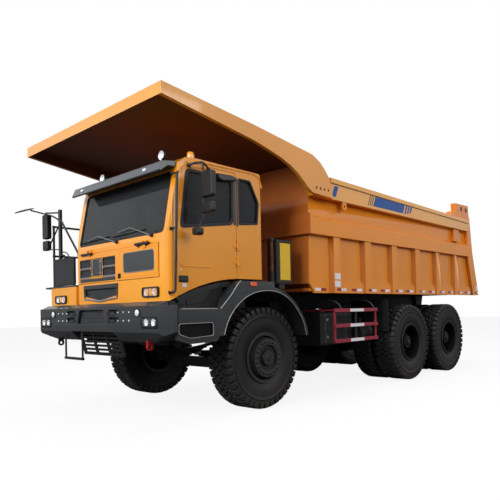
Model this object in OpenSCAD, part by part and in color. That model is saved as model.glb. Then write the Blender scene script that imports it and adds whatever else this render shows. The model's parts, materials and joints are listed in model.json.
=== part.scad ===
// Three-axle mining dump truck with a side-set cab, a hooded dump body and twin rear wheels.
// Millimetres. +Z is up, the truck faces -Y, and its left side is +X.
// The origin is on the ground, midway along the truck's length and width.

/* [Overall] */
// Front axle to middle axle
wheelbase = 3950; // [3800:10:4200]
// Middle axle to rear axle
bogie_spread = 1740; // [1640:10:1800]
// Front axle to the foremost point, the front-view mirror
front_lead = 2150; // [2130:10:2200]
// Rear axle to the tail of the dump body
rear_overhang = 1820; // [1780:10:1900]
// Centre plane to the outermost mirror edges
mirror_reach = 1980; // [1940:5:2020]

/* [Wheels] */
// Tyre diameter out to the lugs' tips
tyre_d = 1493; // [1470:1:1500]
// Tyre section width
tyre_w = 430; // [410:2:436]
// Rim flange diameter
flange_d = 737; // [720:1:750]
// Centre plane to the outer face of a front tyre
front_track_out = 1530; // [1520:5:1540]
// Centre plane to the outer face of a rear tyre
rear_track_out = 1760; // [1750:5:1780]
// Gap between twin tyres
twin_gap = 70; // [66:2:76]
// Lugs around one tyre shoulder
lug_count = 40; // [30:1:44]
// Spindle radius of the front wheels
front_spindle_r = 50; // [45:1:55]
// Spindle radius of the rear wheels
rear_spindle_r = 100; // [90:1:110]
// Radial clearance of every running fit
run_fit = 0.05; // [0.02:0.01:0.1]

/* [Frame] */
// Centre plane to a rail's outer face
rail_out = 480; // [470:2:484]
// Rail width
rail_w = 90; // [80:2:100]
// Rail top above the ground
rail_top = 1440; // [1436:1:1440]
// Rail depth
rail_h = 420; // [400:5:430]
// Bed pivot behind the rear axle
pivot_back = 930; // [920:5:960]
// Bed pivot height
pivot_z = 1350; // [1345:1:1352]
// Bed pivot pin radius
pivot_r = 55; // [50:1:60]

/* [Cab] */
// Front axle to the cab's front face
cab_front = 1735; // [1725:5:1745]
// Cab depth along its side
cab_len = 1675; // [1660:5:1700]
// Centre plane to the cab's left side
cab_left = 1600; // [1590:5:1610]
// Centre plane to the cab's right side
cab_right = 700; // [690:5:710]
// Roof height above the ground
cab_roof = 3400; // [3380:5:3420]
// Cab wall thickness
cab_wall = 50; // [44:1:56]
// Cab floor height at the rear
cab_floor = 1880; // [1870:5:1890]
// Gap around the door
door_gap = 6; // [5:0.5:8]
// Window pane thickness
pane_t = 8; // [6:1:10]

/* [Bumper] */
// Front axle to the bumper's face
bumper_front = 1885; // [1875:5:1895]
// Bumper half width
bumper_half = 1720; // [1710:5:1730]
// Bumper top height
bumper_top = 1528; // [1520:1:1536]
// Bumper lower edge height
bumper_low = 1197; // [1190:1:1205]

/* [Body] */
// Centre plane to the body's rib faces
body_half = 1720; // [1710:5:1730]
// Body side wall thickness
body_wall = 40; // [30:2:44]
// Depth of the ribs outside the wall
rib_deep = 80; // [70:2:90]
// Number of ribs on each side
rib_count = 6; // [4:1:6]
// Distance from rib to rib
rib_pitch = 935; // [920:5:950]
// Height of the body's lower edge
body_low = 1700; // [1695:1:1710]
// Top of the body floor
floor_top = 1780; // [1775:1:1790]
// Centre plane to the canopy's side
canopy_half = 1824; // [1816:1:1830]
// Front axle to the canopy's front edge
canopy_front = 1950; // [1940:5:1960]

/* [Hidden] */
$fn = 48;

// Places along the truck
total_len = front_lead + wheelbase + bogie_spread + rear_overhang;
front_y = front_lead - total_len / 2;
mid_y = front_y + wheelbase;
rear_y = mid_y + bogie_spread;
tail_y = rear_y + rear_overhang;
axle_z = tyre_d / 2;
tyre_r = tyre_d / 2;
bead_r = flange_d / 2 - 18;
flange_w = 18;
bead_in = 30;
front_x = front_track_out - tyre_w / 2;
outer_x = rear_track_out - tyre_w / 2;
inner_x = outer_x - tyre_w - twin_gap;
twin_x = (outer_x + inner_x) / 2;
seat_gap = 0.3;
groove_deep = 26;
move_gap = 5;

// Frame
rail_in = rail_out - rail_w;
rail_low = rail_top - rail_h;
frame_front_y = front_y - bumper_front + 185;
pivot_y = rear_y + pivot_back;
eye_r = 88;
trunnion_y = (mid_y + rear_y) / 2;
trunnion_r = 55;
nose_len = 340;
guard_x = 1640;
guard_y0 = front_y + 1540;
guard_y1 = mid_y - 1090;
fender_in = 1440;
fender_seat = 1725;
deck_top = 1880;
deck_t = 26;

// Steering
kingpin_x = 1040;
kingpin_r = 35;
boss_r = 75;
boss_low = axle_z - 100;
boss_top = axle_z + 104;
ear_t = 40;
arm_y = 300;
ball_r = 20;

// Hoist
hoist_x = 230;
hoist_base_y = mid_y - 1350;
hoist_base_z = 1100;
hoist_eye_y = mid_y + 800;
hoist_eye_z = 1620;
hoist_run = hoist_eye_y - hoist_base_y;
hoist_rise = hoist_eye_z - hoist_base_z;
hoist_len = norm([hoist_run, hoist_rise]);
hoist_tilt = atan2(hoist_rise, hoist_run);
hoist_pin_r = 40;
barrel_r = 95;
rod_r = 65;
rod_eye_r = 80;
rod_eye_half = 75;
ear_side = rod_eye_half + move_gap + 1;

// Cab
cab_y = front_y - cab_front;
cab_back_y = cab_y + cab_len;
sweep_r = 2600;
sweep_y = front_y - 500;
door_front_y = front_y - 1600;
door_rear_y = front_y - 600;
door_top_z = cab_roof - 70;
door_t = 44;
door_axis_x = cab_left + 18;
flap_left = 1410;
flap_right = 620;
flap_low = 1885;
flap_top = 2306;
flap_proud = 12;
flap_axis_y = cab_y - 25;
flap_axis_z = flap_top + 14;
window_low = 2430;
window_top = 3200;

// Body
wall_out = body_half - rib_deep;
wall_in = wall_out - body_wall;
floor_low = floor_top - 50;
front_wall_y = front_y + 920;
front_wall_low = 1850;
band_low = 2630;
band_top = 2950;
rail_face = wall_out + 122;
canopy_in = canopy_half - 62;
top_rail_low = 3235;
top_rail_front = 3585;
top_rail_rear = 3500;
post_top_y = tail_y - 460;
post_top_z = 3590;

// Top of the body's rail at a distance behind the front axle
function rail_line(d) = top_rail_front + (top_rail_rear - top_rail_front)
    * (front_y + d - front_wall_y) / (tail_y - 640 - front_wall_y);

// Underside of the canopy's top plate at a distance behind the front axle, near the front wall
function hood_under(d) = 3808 - (d - 834) * 0.405;

// Side-view outline [y, z] given a width from x0 to x1
module side_prism(points, x0, x1) {
    translate([x0, 0, 0]) rotate([90, 0, 90]) linear_extrude(x1 - x0) polygon(points);
}

// Front-view outline [x, z] given a depth from y0 to y1
module front_prism(points, y0, y1) {
    translate([0, y1, 0]) rotate([90, 0, 0]) linear_extrude(y1 - y0) polygon(points);
}

// Plan outline [x, y] given a height from z0 to z1
module plan_prism(points, z0, z1) {
    translate([0, 0, z0]) linear_extrude(z1 - z0) polygon(points);
}

// Block between two opposite corners
module block(x0, x1, y0, y1, z0, z1) {
    translate([x0, y0, z0]) cube([x1 - x0, y1 - y0, z1 - z0]);
}

// Cylinder along X
module cyl_x(r, x0, x1, y, z) {
    translate([x0, y, z]) rotate([0, 90, 0]) cylinder(h = x1 - x0, r = r);
}

// Cylinder along Y
module cyl_y(r, y0, y1, x, z) {
    translate([x, y1, z]) rotate([90, 0, 0]) cylinder(h = y1 - y0, r = r);
}

// Round bar from one point to another
module bar(a, b, r) {
    v = b - a;
    translate(a) rotate([0, acos(v[2] / norm(v)), atan2(v[1], v[0])])
        cylinder(h = norm(v), r = r);
}

// The same piece on both sides
module both_sides() {
    children();
    mirror([1, 0, 0]) children();
}

// Points of an arc, used in outlines
function arc(cx, cy, r, a0, a1, n) =
    [for (i = [0:n]) let (a = a0 + (a1 - a0) * i / n) [cx + r * cos(a), cy + r * sin(a)]];

// A rectangle with four round corners
function round_rect(x0, x1, y0, y1, r) = concat(
    arc(x1 - r, y0 + r, r, -90, 0, 4), arc(x1 - r, y1 - r, r, 0, 90, 4),
    arc(x0 + r, y1 - r, r, 90, 180, 4), arc(x0 + r, y0 + r, r, 180, 270, 4));

// Wheels, drawn about Z with the outer side up, then turned to face outwards
module tyre() {
    side = tyre_w / 2;
    color("#242526") {
        rotate_extrude($fn = 96) polygon([
            [bead_r + seat_gap, -side + bead_in + seat_gap],
            [flange_d / 2 + seat_gap, -side + bead_in + seat_gap],
            [tyre_r - 210, -side], [tyre_r - 95, -side + 12], [tyre_r - groove_deep, -side + 62],
            [tyre_r - groove_deep, side - 62], [tyre_r - 95, side - 12], [tyre_r - 210, side],
            [flange_d / 2 + seat_gap, side - bead_in - seat_gap],
            [bead_r + seat_gap, side - bead_in - seat_gap]]);
        tread_bars();
    }
}

// Bars across the tread, cut back at both shoulders
module tread_bars() {
    edge = tyre_w / 2 - 13;
    pitch = 360 / lug_count;
    root = tyre_r - 115;
    // A bar's flat outer face reaches the tyre's radius at its middle
    tip = tyre_r / cos(0.35 * pitch);
    intersection() {
        translate([0, 0, -edge]) linear_extrude(2 * edge) polygon([for (i = [0:lug_count - 1])
            for (p = [[root, -0.39], [tip, -0.35], [tip, 0.35], [root, 0.39]])
                [p[0] * cos(pitch * (i + p[1])), p[0] * sin(pitch * (i + p[1]))]]);
        rotate_extrude($fn = 96) polygon([
            [root - 15, -edge], [tyre_r - 85, -edge], [tyre_r + 6, -edge + 37],
            [tyre_r + 6, edge - 37], [tyre_r - 85, edge], [root - 15, edge]]);
    }
}

// Rim barrel with a flange at each edge
module rim_barrel() {
    edge = tyre_w / 2 - bead_in;
    rotate_extrude($fn = 96) polygon([
        [bead_r - 28, -edge - flange_w], [flange_d / 2, -edge - flange_w],
        [flange_d / 2, -edge], [bead_r, -edge], [bead_r, edge],
        [flange_d / 2, edge], [flange_d / 2, edge + flange_w], [bead_r - 28, edge + flange_w]]);
}

module front_rim() {
    ring_z = 262;
    color("#3a3b3d") difference() {
        union() {
            rim_barrel();
            rotate_extrude($fn = 96) polygon([
                [0, 0], [150, 0], [150, ring_z - 62], [186, ring_z - 62], [186, ring_z - 24],
                [255, ring_z - 24], [262, ring_z - 50], [bead_r - 20, ring_z - 200],
                [bead_r - 20, ring_z - 160], [286, ring_z - 26], [278, ring_z], [192, ring_z],
                [186, ring_z - 30], [122, ring_z - 34], [110, ring_z], [104, ring_z + 14],
                [0, ring_z + 14]]);
            translate([0, 0, -100]) cylinder(h = 110, r = 150);
        }
        translate([0, 0, -101]) cylinder(h = 176, r = front_spindle_r + run_fit);
    }
}

module twin_rims() {
    half = (tyre_w + twin_gap) / 2;
    color("#3a3b3d") difference() {
        union() {
            translate([0, 0, half]) rim_barrel();
            translate([0, 0, -half]) rim_barrel();
            rotate_extrude($fn = 96) polygon([
                [0, -half - 110], [210, -half - 110], [210, -20], [bead_r - 28, -20],
                [bead_r - 28, -half + 150], [bead_r, -half + 150], [bead_r, half - 150],
                [bead_r - 28, half - 150], [bead_r - 28, 20], [230, 20], [190, 45],
                [185, half + 40], [150, half + 75], [130, half + 120], [60, half + 150],
                [0, half + 150]]);
        }
        translate([0, 0, -half - 111]) cylinder(h = 2 * half + 111, r = rear_spindle_r + run_fit);
    }
}

module facing(side, x, y) {
    translate([side * x, y, axle_z]) rotate([0, 90 * side, 0]) children();
}

module front_tyre(side) { facing(side, front_x, front_y) tyre(); }
module twin_tyres(side, y) {
    facing(side, outer_x, y) tyre();
    facing(side, inner_x, y) tyre();
}

// One frame rail with its boss for the bed's pivot
module rail(side) {
    x0 = side > 0 ? rail_in : -rail_out;
    difference() {
        union() {
            side_prism([[frame_front_y, rail_low], [pivot_y, rail_low], [pivot_y, rail_top - 2],
                [pivot_y - 60, rail_top], [frame_front_y, rail_top]], x0, x0 + rail_w);
            cyl_x(eye_r, x0, x0 + rail_w, pivot_y, pivot_z);
        }
        cyl_x(pivot_r + run_fit, x0 - 1, x0 + rail_w + 1, pivot_y, pivot_z);
    }
}

module frame_rails() {
    color("#2f3032") {
        rail(1);
        rail(-1);
        both_sides() {
            // Hoist base pin
            cyl_x(hoist_pin_r, hoist_x - 115, rail_in, hoist_base_y, hoist_base_z);
            // Trunnion bracket and shaft
            block(rail_out, rail_out + 55, trunnion_y - 130, trunnion_y + 130, 760, 1300);
            cyl_x(trunnion_r, rail_out, 705, trunnion_y, 830);
            // Front spring hangers
            for (d = [-760, 760])
                block(rail_in, rail_out, front_y + d - 60, front_y + d + 60, 935, rail_low);
            // Posts of the fender carrier and of the rear cab carrier
            block(rail_in, rail_out, front_y + 100, front_y + 160, rail_top, fender_seat);
            block(rail_in, rail_out, cab_back_y - 140, cab_back_y - 60, rail_top, cab_floor - 110);
        }
    }
}

// Crossmembers between the rails, the carriers of cab, deck and fenders, and the rear tow eye
module crossmembers() {
    color("#2f3032") {
        // Each as [distance behind the front axle, lower face, upper face]
        for (c = [[-1640, 1080, 1300], [1230, 1180, 1380], [wheelbase - 650, 1040, 1150],
                  [wheelbase + bogie_spread / 2 - 40, 1040, 1200],
                  [wheelbase + bogie_spread + 600, 1040, 1240]])
            block(-rail_in, rail_in, front_y + c[0], front_y + c[0] + 90, c[1], c[2]);
        // Front carrier below the cab and the right deck
        block(-1560, 1560, frame_front_y, frame_front_y + 90, rail_top, cab_floor - 300);
        block(-1500, 1500, cab_y, frame_front_y, bumper_top + 2, cab_floor - 300);
        // Rear cab carrier
        block(-690, fender_in - 20, cab_back_y - 140, cab_back_y - 60, cab_floor - 110, cab_floor);
        block(20 - fender_in, -690, cab_back_y - 140, cab_back_y - 60, cab_floor - 110, deck_top - deck_t);
        // Rear fender carriers
        both_sides() block(rail_out, 1010, front_y + 100, front_y + 160, fender_seat - 50, fender_seat);
        // Rear tow eye
        difference() {
            union() {
                block(-60, 60, rear_y + 680, rear_y + 800, 1080, 1200);
                translate([0, rear_y + 800, 1080]) cylinder(h = 120, r = 60);
            }
            translate([0, rear_y + 800, 1070]) cylinder(h = 140, r = 25);
        }
    }
}

// Front bumper with its side panels
function bumper_plan(inset) = [
    [-bumper_half + 130 + inset / 2, front_y - bumper_front + inset],
    [bumper_half - 130 - inset / 2, front_y - bumper_front + inset],
    [bumper_half - inset, front_y - bumper_front + 130 + inset / 2],
    [bumper_half - inset, front_y - bumper_front + 185 + inset],
    [-bumper_half + inset, front_y - bumper_front + 185 + inset],
    [-bumper_half + inset, front_y - bumper_front + 130 + inset / 2]];

module front_bumper() {
    face_y = front_y - bumper_front;
    back_y = face_y + 185;
    color("#454648") difference() {
        union() {
            plan_prism(bumper_plan(0), bumper_low, bumper_top);
            // The top slopes up to the cab
            side_prism([[face_y + 30, bumper_top], [cab_y - 2, bumper_top], [cab_y - 2, bumper_top + 48],
                [cab_y - 30, bumper_top + 48]], -bumper_half + 130, bumper_half - 130);
            // Lower corners lean back under the bumper and rise towards its ends
            both_sides() intersection() {
                plan_prism(bumper_plan(0), bumper_low - 160, bumper_low);
                side_prism([[face_y, bumper_low], [back_y, bumper_low], [back_y, bumper_low - 140],
                    [face_y + 130, bumper_low - 130], [face_y + 30, bumper_low - 40]], 560, bumper_half);
                front_prism([[560, bumper_low], [bumper_half, bumper_low],
                    [bumper_half - 60, bumper_low - 30], [1240, bumper_low - 150],
                    [600, bumper_low - 150]], face_y, back_y);
            }
            // Side panels back to the front wheels
            both_sides() side_prism([[back_y, 1475], [back_y, 1100], [front_y - 1525, 1043],
                [front_y - 1085, 1056], [front_y - 1050, 1110], [front_y - 1010, 1475]],
                bumper_half - 60, bumper_half);
        }
        // Grille opening in the middle
        front_prism([[-330, 1507], [330, 1507], [410, 1288], [-410, 1288]], face_y - 1, back_y + 1);
        // Slots beside the grille
        both_sides() for (z = [1335, 1435])
            front_prism([[470, z], [720, z], [700, z + 55], [455, z + 55]], face_y - 1, face_y + 60);
        // Seam between the corner and the side panel
        both_sides() block(bumper_half - 14, bumper_half + 1, back_y - 4, back_y + 8, 1040, bumper_top + 1);
        // Recesses of the lamps
        both_sides() front_prism(round_rect(1215, 1575, 1245, 1390, 30), face_y - 1, face_y + 40);
        both_sides() front_prism(round_rect(1060, 1220, 1402, 1470, 30), face_y - 1, face_y + 40);
        // Recesses in the side panels
        both_sides() side_prism([[front_y - 1690, 1300], [front_y - 1142, 1303],
            [front_y - 1136, 1132], [front_y - 1513, 1112], [front_y - 1690, 1170]],
            bumper_half - 30, bumper_half + 1);
    }
    // Tow eyes below the lower corners
    color("#b02020") both_sides() difference() {
        union() {
            cyl_x(45, 1180, 1210, face_y + 140, bumper_low - 190);
            block(1180, 1210, face_y + 100, face_y + 180, bumper_low - 190, bumper_low - 60);
        }
        cyl_x(22, 1170, 1220, face_y + 140, bumper_low - 190);
    }
}

module skid_plate() {
    top_y = front_y - bumper_front + 95;
    color("#2f3032") difference() {
        side_prism([[top_y, bumper_low], [top_y + 30, bumper_low], [top_y + 120, 850], [top_y + 90, 850]],
            -550, 550);
        for (i = [0:4], k = [-1:1])
            translate([k * 345 - 150, top_y - 10, 895 + 56 * i]) cube([300, 200, 24]);
    }
    front_step();
}

module front_step() {
    y = front_y - bumper_front + 35;
    lean = 1.4;
    color("#3c3d3f") {
        block(-350, -310, y, y + 12, 780, bumper_low);
        side_prism([[y, 780], [y + 12, 780], [y + 12, bumper_low - 47 * lean], [y, bumper_low - 35 * lean]],
            -850, -810);
        block(-850, -310, y - 12, y + 24, 780, 815);
    }
}

module lamps() {
    face_y = front_y - bumper_front;
    color("white") both_sides() {
        // Headlamps at the foot of the cab, then the bumper's lamps
        front_prism(round_rect(1055, 1385, 1628, 1762, 20), cab_y - 30, cab_y);
        front_prism(round_rect(1225, 1390, 1255, 1380, 25), face_y + 5, face_y + 40);
        front_prism(round_rect(1400, 1565, 1255, 1380, 25), face_y + 5, face_y + 40);
        front_prism(round_rect(1070, 1210, 1410, 1462, 25), face_y + 5, face_y + 40);
    }
    // Beacon on the roof
    color("#f0a020") translate([1466, front_y - 1257, cab_roof]) {
        cylinder(h = 25, r = 60);
        translate([0, 0, 25]) cylinder(h = 90, r = 50);
    }
}

// Cab shell: outer outline less the cavity, the door, the flap and the windows
function cab_profile(t) = [
    [cab_y + t, cab_floor - 300 + t], [cab_y + t, 2380], [cab_y + 150 + t, cab_roof - 220],
    [cab_y + 190 + t, cab_roof - 90 - t / 2], [cab_y + 290 + t / 2, cab_roof - 15 - t],
    [cab_y + 420, cab_roof - t], [cab_back_y - 90, cab_roof - t],
    [cab_back_y - 25 - t * 0.8, cab_roof - 25 - t * 0.8], [cab_back_y - t, cab_roof - 90],
    [cab_back_y - t, cab_floor - 300 + t]];

module cab_solid(t) {
    difference() {
        intersection() {
            side_prism(cab_profile(t), -cab_right + t, cab_left - t);
            plan_prism(round_rect(-cab_right + t, cab_left - t, cab_y + t, cab_back_y - t, 90 - t / 2),
                cab_floor - 320, cab_roof + 20);
        }
        cyl_x(sweep_r + t, -cab_right - 10, cab_left + 10, sweep_y, cab_floor - sweep_r, $fn = 240);
        block(-cab_right - 10, cab_left + 10, sweep_y, cab_back_y + 10, cab_floor - 400, cab_floor + t);
    }
}

// Door outline in side view, smaller by g on every edge but the swept bottom
function door_outline(g) = [
    [door_front_y + g, cab_floor - 400], [door_rear_y - g, cab_floor - 400],
    [door_rear_y - g, door_top_z - g], [door_front_y + 160 + g, door_top_z - g], [door_front_y + 90 + g, door_top_z - 90],
    [door_front_y + g, 2400]];

module cab_shell() {
    color("#e09a2a") difference() {
        cab_solid(0);
        cab_solid(cab_wall);
        // Windscreen
        front_prism(round_rect(-cab_right + 100, cab_left - 100, window_low, window_top, 60),
            cab_y - 20, cab_y + 300);
        // Door
        side_prism(door_outline(0), cab_left - cab_wall - 1, cab_left + 1);
        // Quarter window behind the door, on both sides
        for (x = [-cab_right - 1, cab_left - cab_wall - 1])
            side_prism(quarter_window(0), x, x + cab_wall + 2);
        // Fixed window in the right side
        side_prism(side_window(0), -cab_right - 1, -cab_right + cab_wall + 1);
        // Rear window
        front_prism(round_rect(-300, 1200, 2600, 3200, 60), cab_back_y - cab_wall - 1, cab_back_y + 1);
        // Front flap
        block(-flap_right - 6, flap_left + 6, cab_y - 1, cab_y + cab_wall - 6, flap_low - 6, flap_top + 6);
        // Lower grille
        front_prism([[-450, flap_low - 35], [450, flap_low - 35], [430, 1690], [0, 1625], [-430, 1690]],
            cab_y - 1, cab_y + cab_wall - 6);
    }
    // Trim round the lower grille
    color("#4a4c50") difference() {
        front_prism([[-450, flap_low - 36], [450, flap_low - 36], [430, 1690], [0, 1625], [-430, 1690]],
            cab_y - 4, cab_y + cab_wall - 6);
        front_prism([[-425, flap_low - 70], [425, flap_low - 70], [408, 1706], [0, 1644], [-408, 1706]],
            cab_y - 5, cab_y + cab_wall - 14);
    }
    // Fascia below the right deck
    color("#e09a2a") block(-1520, -cab_right - 6, cab_y, cab_y + 45, cab_floor - 300, deck_top - deck_t);
    // Hinge pins of the door
    for (z = [2080, 2300]) door_hinge_fixed(z);
    // Hinge pins of the flap
    for (x = [-300, 1090]) flap_hinge_fixed(x);
}

module door_hinge_fixed(z) {
    color("#e09a2a") {
        translate([door_axis_x, door_rear_y + 3, z - 30]) cylinder(h = 120, r = 8);
        for (s = [-30, 60.5]) {
            translate([door_axis_x, door_rear_y + 3, z + s]) cylinder(h = 29.5, r = 15);
            block(cab_left, door_axis_x - 8, door_rear_y + 3, door_rear_y + 60, z + s, z + s + 29.5);
        }
    }
}

module flap_hinge_fixed(x) {
    color("#e09a2a") {
        cyl_x(5, x - 30, x + 90, flap_axis_y, flap_axis_z);
        for (s = [-30, 60.5]) {
            cyl_x(9, x + s, x + s + 29.5, flap_axis_y, flap_axis_z);
            block(x + s, x + s + 29.5, flap_axis_y, cab_y, flap_axis_z, flap_axis_z + 40);
        }
    }
}

function quarter_window(g) = [
    [front_y - 545 + g, 2630 + g], [front_y - 192 - g, 2672 + g], [front_y - 160 - g, 2972],
    [front_y - 322 - g, 3265 - g], [front_y - 545 + g, 3265 - g]];

function side_window(g) = [
    [door_front_y + 62 + g, 2500 + g], [door_rear_y - 70 - g, 2625 + g],
    [door_rear_y - 60 - g, 3240 - g], [door_front_y + 165 + g, 3236 - g]];

module cab_glass() {
    mid = cab_wall / 2;
    color([0.15, 0.17, 0.2, 0.5]) {
        // Windscreen
        intersection() {
            front_prism(round_rect(-cab_right + 100 + seat_gap, cab_left - 100 - seat_gap,
                window_low + seat_gap, window_top - seat_gap, 60), cab_y - 20, cab_y + 300);
            side_prism([[cab_y + 12, 2350], [cab_y + 12, 2380], [cab_y + 165, cab_roof - 210],
                [cab_y + 165 + pane_t, cab_roof - 210], [cab_y + 12 + pane_t, 2380],
                [cab_y + 12 + pane_t, 2350]], -cab_right, cab_left);
        }
        for (x = [-cab_right + mid, cab_left - mid - pane_t])
            side_prism(quarter_window(seat_gap), x, x + pane_t);
        side_prism(side_window(seat_gap), -cab_right + mid, -cab_right + mid + pane_t);
        front_prism(round_rect(-300 + seat_gap, 1200 - seat_gap, 2600 + seat_gap, 3200 - seat_gap, 60),
            cab_back_y - mid - pane_t, cab_back_y - mid);
    }
}

module visor() {
    color("#4a4c4f") {
        side_prism([[cab_y - 75, cab_roof - 225], [cab_y - 50, cab_roof - 238], [cab_y + 60, cab_roof - 155],
            [cab_y + 170, cab_roof - 155], [cab_y + 190, cab_roof - 90],
            [cab_y + 150, cab_roof - 76], [cab_y - 20, cab_roof - 104]],
            -cab_right + 45, cab_left - 45);
    }
}

module mirror_left() {
    reach = mirror_reach - cab_left;
    top = [cab_left + reach * 0.45, front_y - 1310, 3310];
    color("#2c2d30") {
        // Arms up from the door's upper frame
        for (d = [-1400, -1080]) {
            block(cab_left, cab_left + 20, front_y + d - 25, front_y + d + 25,
                door_top_z - 65, door_top_z - 20);
            bar([cab_left + 16, front_y + d, door_top_z - 42], top, 14);
        }
        // Stem down through the heads
        bar(top + [0, 0, 14], [top[0], top[1], 2450], 14);
        block(top[0] - reach * 0.03, mirror_reach, front_y - 1350, front_y - 1270, 2870, 3170);
        block(top[0] - reach * 0.03, mirror_reach - reach * 0.03, front_y - 1350, front_y - 1270, 2670, 2795);
        block(top[0] - reach * 0.15, top[0] + reach * 0.16, front_y - 1390, front_y - 1290, 2390, 2470);
    }
}

module mirror_right() {
    post_x = -1330;
    post_y = front_y - 1665;
    disc_r = 150;
    tilt = 20;
    disc_y = front_y - front_lead + disc_r * cos(tilt) + 12.5 * sin(tilt);
    disc_x = -mirror_reach + disc_r;
    color("#2c2d30") {
        bar([post_x, post_y, deck_top], [post_x, post_y, 3110], 30);
        bar([post_x, post_y, 2960], [-cab_right - 30, post_y, 2330], 14);
        block(-cab_right - 45, -cab_right, post_y - 25, post_y + 25, 2300, 2360);
        bar([post_x, post_y, 3080], [disc_x, disc_y, 3120], 14);
        translate([disc_x, disc_y, 3120]) rotate([tilt, 0, 0]) translate([0, 0, -12.5])
            cylinder(h = 25, r = disc_r);
        // Mirror heads on two outward arms
        bar([post_x, post_y, 2950], [-1760, post_y - 20, 2950], 14);
        bar([post_x, post_y, 2450], [-1760, post_y - 20, 2600], 14);
        block(-1850, -1670, post_y - 60, post_y + 20, 2680, 3080);
        block(-1850, -1670, post_y - 60, post_y + 20, 2490, 2650);
    }
}

module screen_panel() {
    color("#2c2d30") {
        front_prism(round_rect(-1395, -758, deck_top + 6, 2305, 30), cab_y, cab_y + 28);
        for (x = [-1370, -800])
            block(x, x + 30, cab_y + 2, cab_y + 26, deck_top, deck_top + 60);
    }
}

// Fenders: a flare over the front wheel, the wall behind the steps and a step tray
module fender(side) {
    flare = [[front_y - 1045, 1120], [front_y - 1010, 1475], [front_y - 826, 1648], [front_y - 700, 1800],
        [front_y - 640, 1846], [front_y - 20, 1846], [front_y + 20, 1768], [front_y + 101, 1748],
        [front_y + 240, 1702], [front_y + 351, 1644], [front_y + 460, 1564], [front_y + 551, 1470],
        [front_y + 630, 1374], [front_y + 696, 1270], [front_y + 740, 1165], [front_y + 765, 1045],
        [front_y + 712, 1045], [front_y + 688, 1150], [front_y + 648, 1246], [front_y + 588, 1340],
        [front_y + 512, 1434], [front_y + 428, 1520], [front_y + 324, 1596], [front_y + 222, 1650],
        [front_y + 92, 1694], [front_y - 40, 1712], [front_y - 166, 1714], [front_y - 330, 1696],
        [front_y - 480, 1656], [front_y - 600, 1600], [front_y - 708, 1530], [front_y - 800, 1448],
        [front_y - 880, 1350], [front_y - 940, 1240], [front_y - 975, 1120]];
    liner = [[front_y - 708, 1530], [front_y - 600, 1600], [front_y - 480, 1656], [front_y - 330, 1696],
        [front_y - 166, 1714], [front_y - 40, 1712], [front_y + 92, 1694], [front_y + 222, 1650],
        [front_y + 324, 1596], [front_y + 400, 1570], [front_y + 408, 1584], [front_y + 330, 1612],
        [front_y + 228, 1666], [front_y + 95, 1710], [front_y - 40, 1728], [front_y - 166, 1730],
        [front_y - 333, 1712], [front_y - 486, 1671], [front_y - 609, 1614], [front_y - 718, 1543]];
    wall = concat(arc(sweep_y, cab_floor - sweep_r, sweep_r - 30, 115.3, 93.1, 8),
        [[front_y - 635, 1810], [front_y - 826, 1648], [front_y - 1010, 1475], [front_y - 1609, 1475]]);
    // Band that follows the door's lower edge
    brow = concat(arc(sweep_y, cab_floor - sweep_r, sweep_r - 30, 114.8, 94, 8),
        arc(sweep_y, cab_floor - sweep_r, sweep_r - 100, 94, 114.2, 8));
    color("#454648") mirror([side > 0 ? 0 : 1, 0, 0]) {
        side_prism(flare, fender_in, bumper_half);
        side_prism(liner, 1010, fender_in);
        side_prism(wall, fender_in, fender_in + 30);
        side_prism(brow, fender_in, fender_in + 90);
        block(fender_in, bumper_half - 60, front_y - 1609, front_y - 1000, 1425, 1475);
    }
}

module fenders() {
    fender(1);
    fender(-1);
    mudguards();
}

module walkway() {
    screen_panel();
    color("#3c3d3f") {
        block(-1720, -cab_right - 6, cab_y, cab_back_y - 80, deck_top - deck_t, deck_top);
        // Handrail
        for (d = [0, 700, 1400])
            bar([-1690, cab_y + 130 + d, deck_top], [-1690, cab_y + 130 + d, 2900], 18);
        for (z = [2400, 2882])
            bar([-1690, cab_y + 112, z], [-1690, cab_y + 1548, z], 17);
    }
}

module engine() {
    color("#5a5c5e") {
        block(-345, 345, front_y - 950, front_y + 750, 950, 1720);
        block(-240, 240, front_y + 750, front_y + 1200, 990, 1480);
        // Mounts down to the rails
        both_sides() for (d = [-700, 500])
            block(345, rail_in, front_y + d, front_y + d + 90, 1200, 1300);
    }
}

module air_cleaner() {
    color("#2c2d30") {
        block(1370, 1560, front_y + 240, front_y + 570, 1830, 2500);
        block(rail_in, 1560, front_y + 300, front_y + 420, 1750, 1830);
        block(rail_in, rail_out, front_y + 300, front_y + 420, rail_top, 1750);
    }
    color("#e8c030") block(1560, 1572, front_y + 318, front_y + 546, 1890, 2450);
}

module tanks() {
    color("#3c3d3f") {
        // Fuel tank on the right
        front_prism(round_rect(-1560, -800, 780, 1400, 70), front_y + 1400, mid_y - 1050);
        // Hydraulic tank on the left
        front_prism(round_rect(760, 1330, 800, 1380, 60), front_y + 1560, mid_y - 1450);
        // Air tanks behind it
        cyl_y(150, mid_y - 1390, mid_y - 990, 1350, 1000);
        // Brackets from the rails
        for (y = [front_y + 1600, mid_y - 1350]) block(-800, -rail_out, y, y + 80, 1100, 1300);
        for (y = [front_y + 1700, mid_y - 1650]) block(rail_out, 760, y, y + 80, 1100, 1300);
        block(rail_out, 1350, mid_y - 1230, mid_y - 1150, 1120, 1250);
    }
}

module side_guards() {
    color("#8c2837") both_sides() {
        for (z = [865, 1120, 1380])
            block(guard_x, guard_x + 30, guard_y0, guard_y1, z, z + 60);
        for (y = [guard_y0, (guard_y0 + guard_y1) / 2 - 40, guard_y1 - 60])
            block(guard_x - 20, guard_x, y, y + 60, 865, 1440);
    }
    color("#2f3032") both_sides() for (y = [guard_y0 + 20, guard_y1 - 40])
        block(rail_out, guard_x - 20, y, y + 30, 1400, 1430);
}

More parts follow.
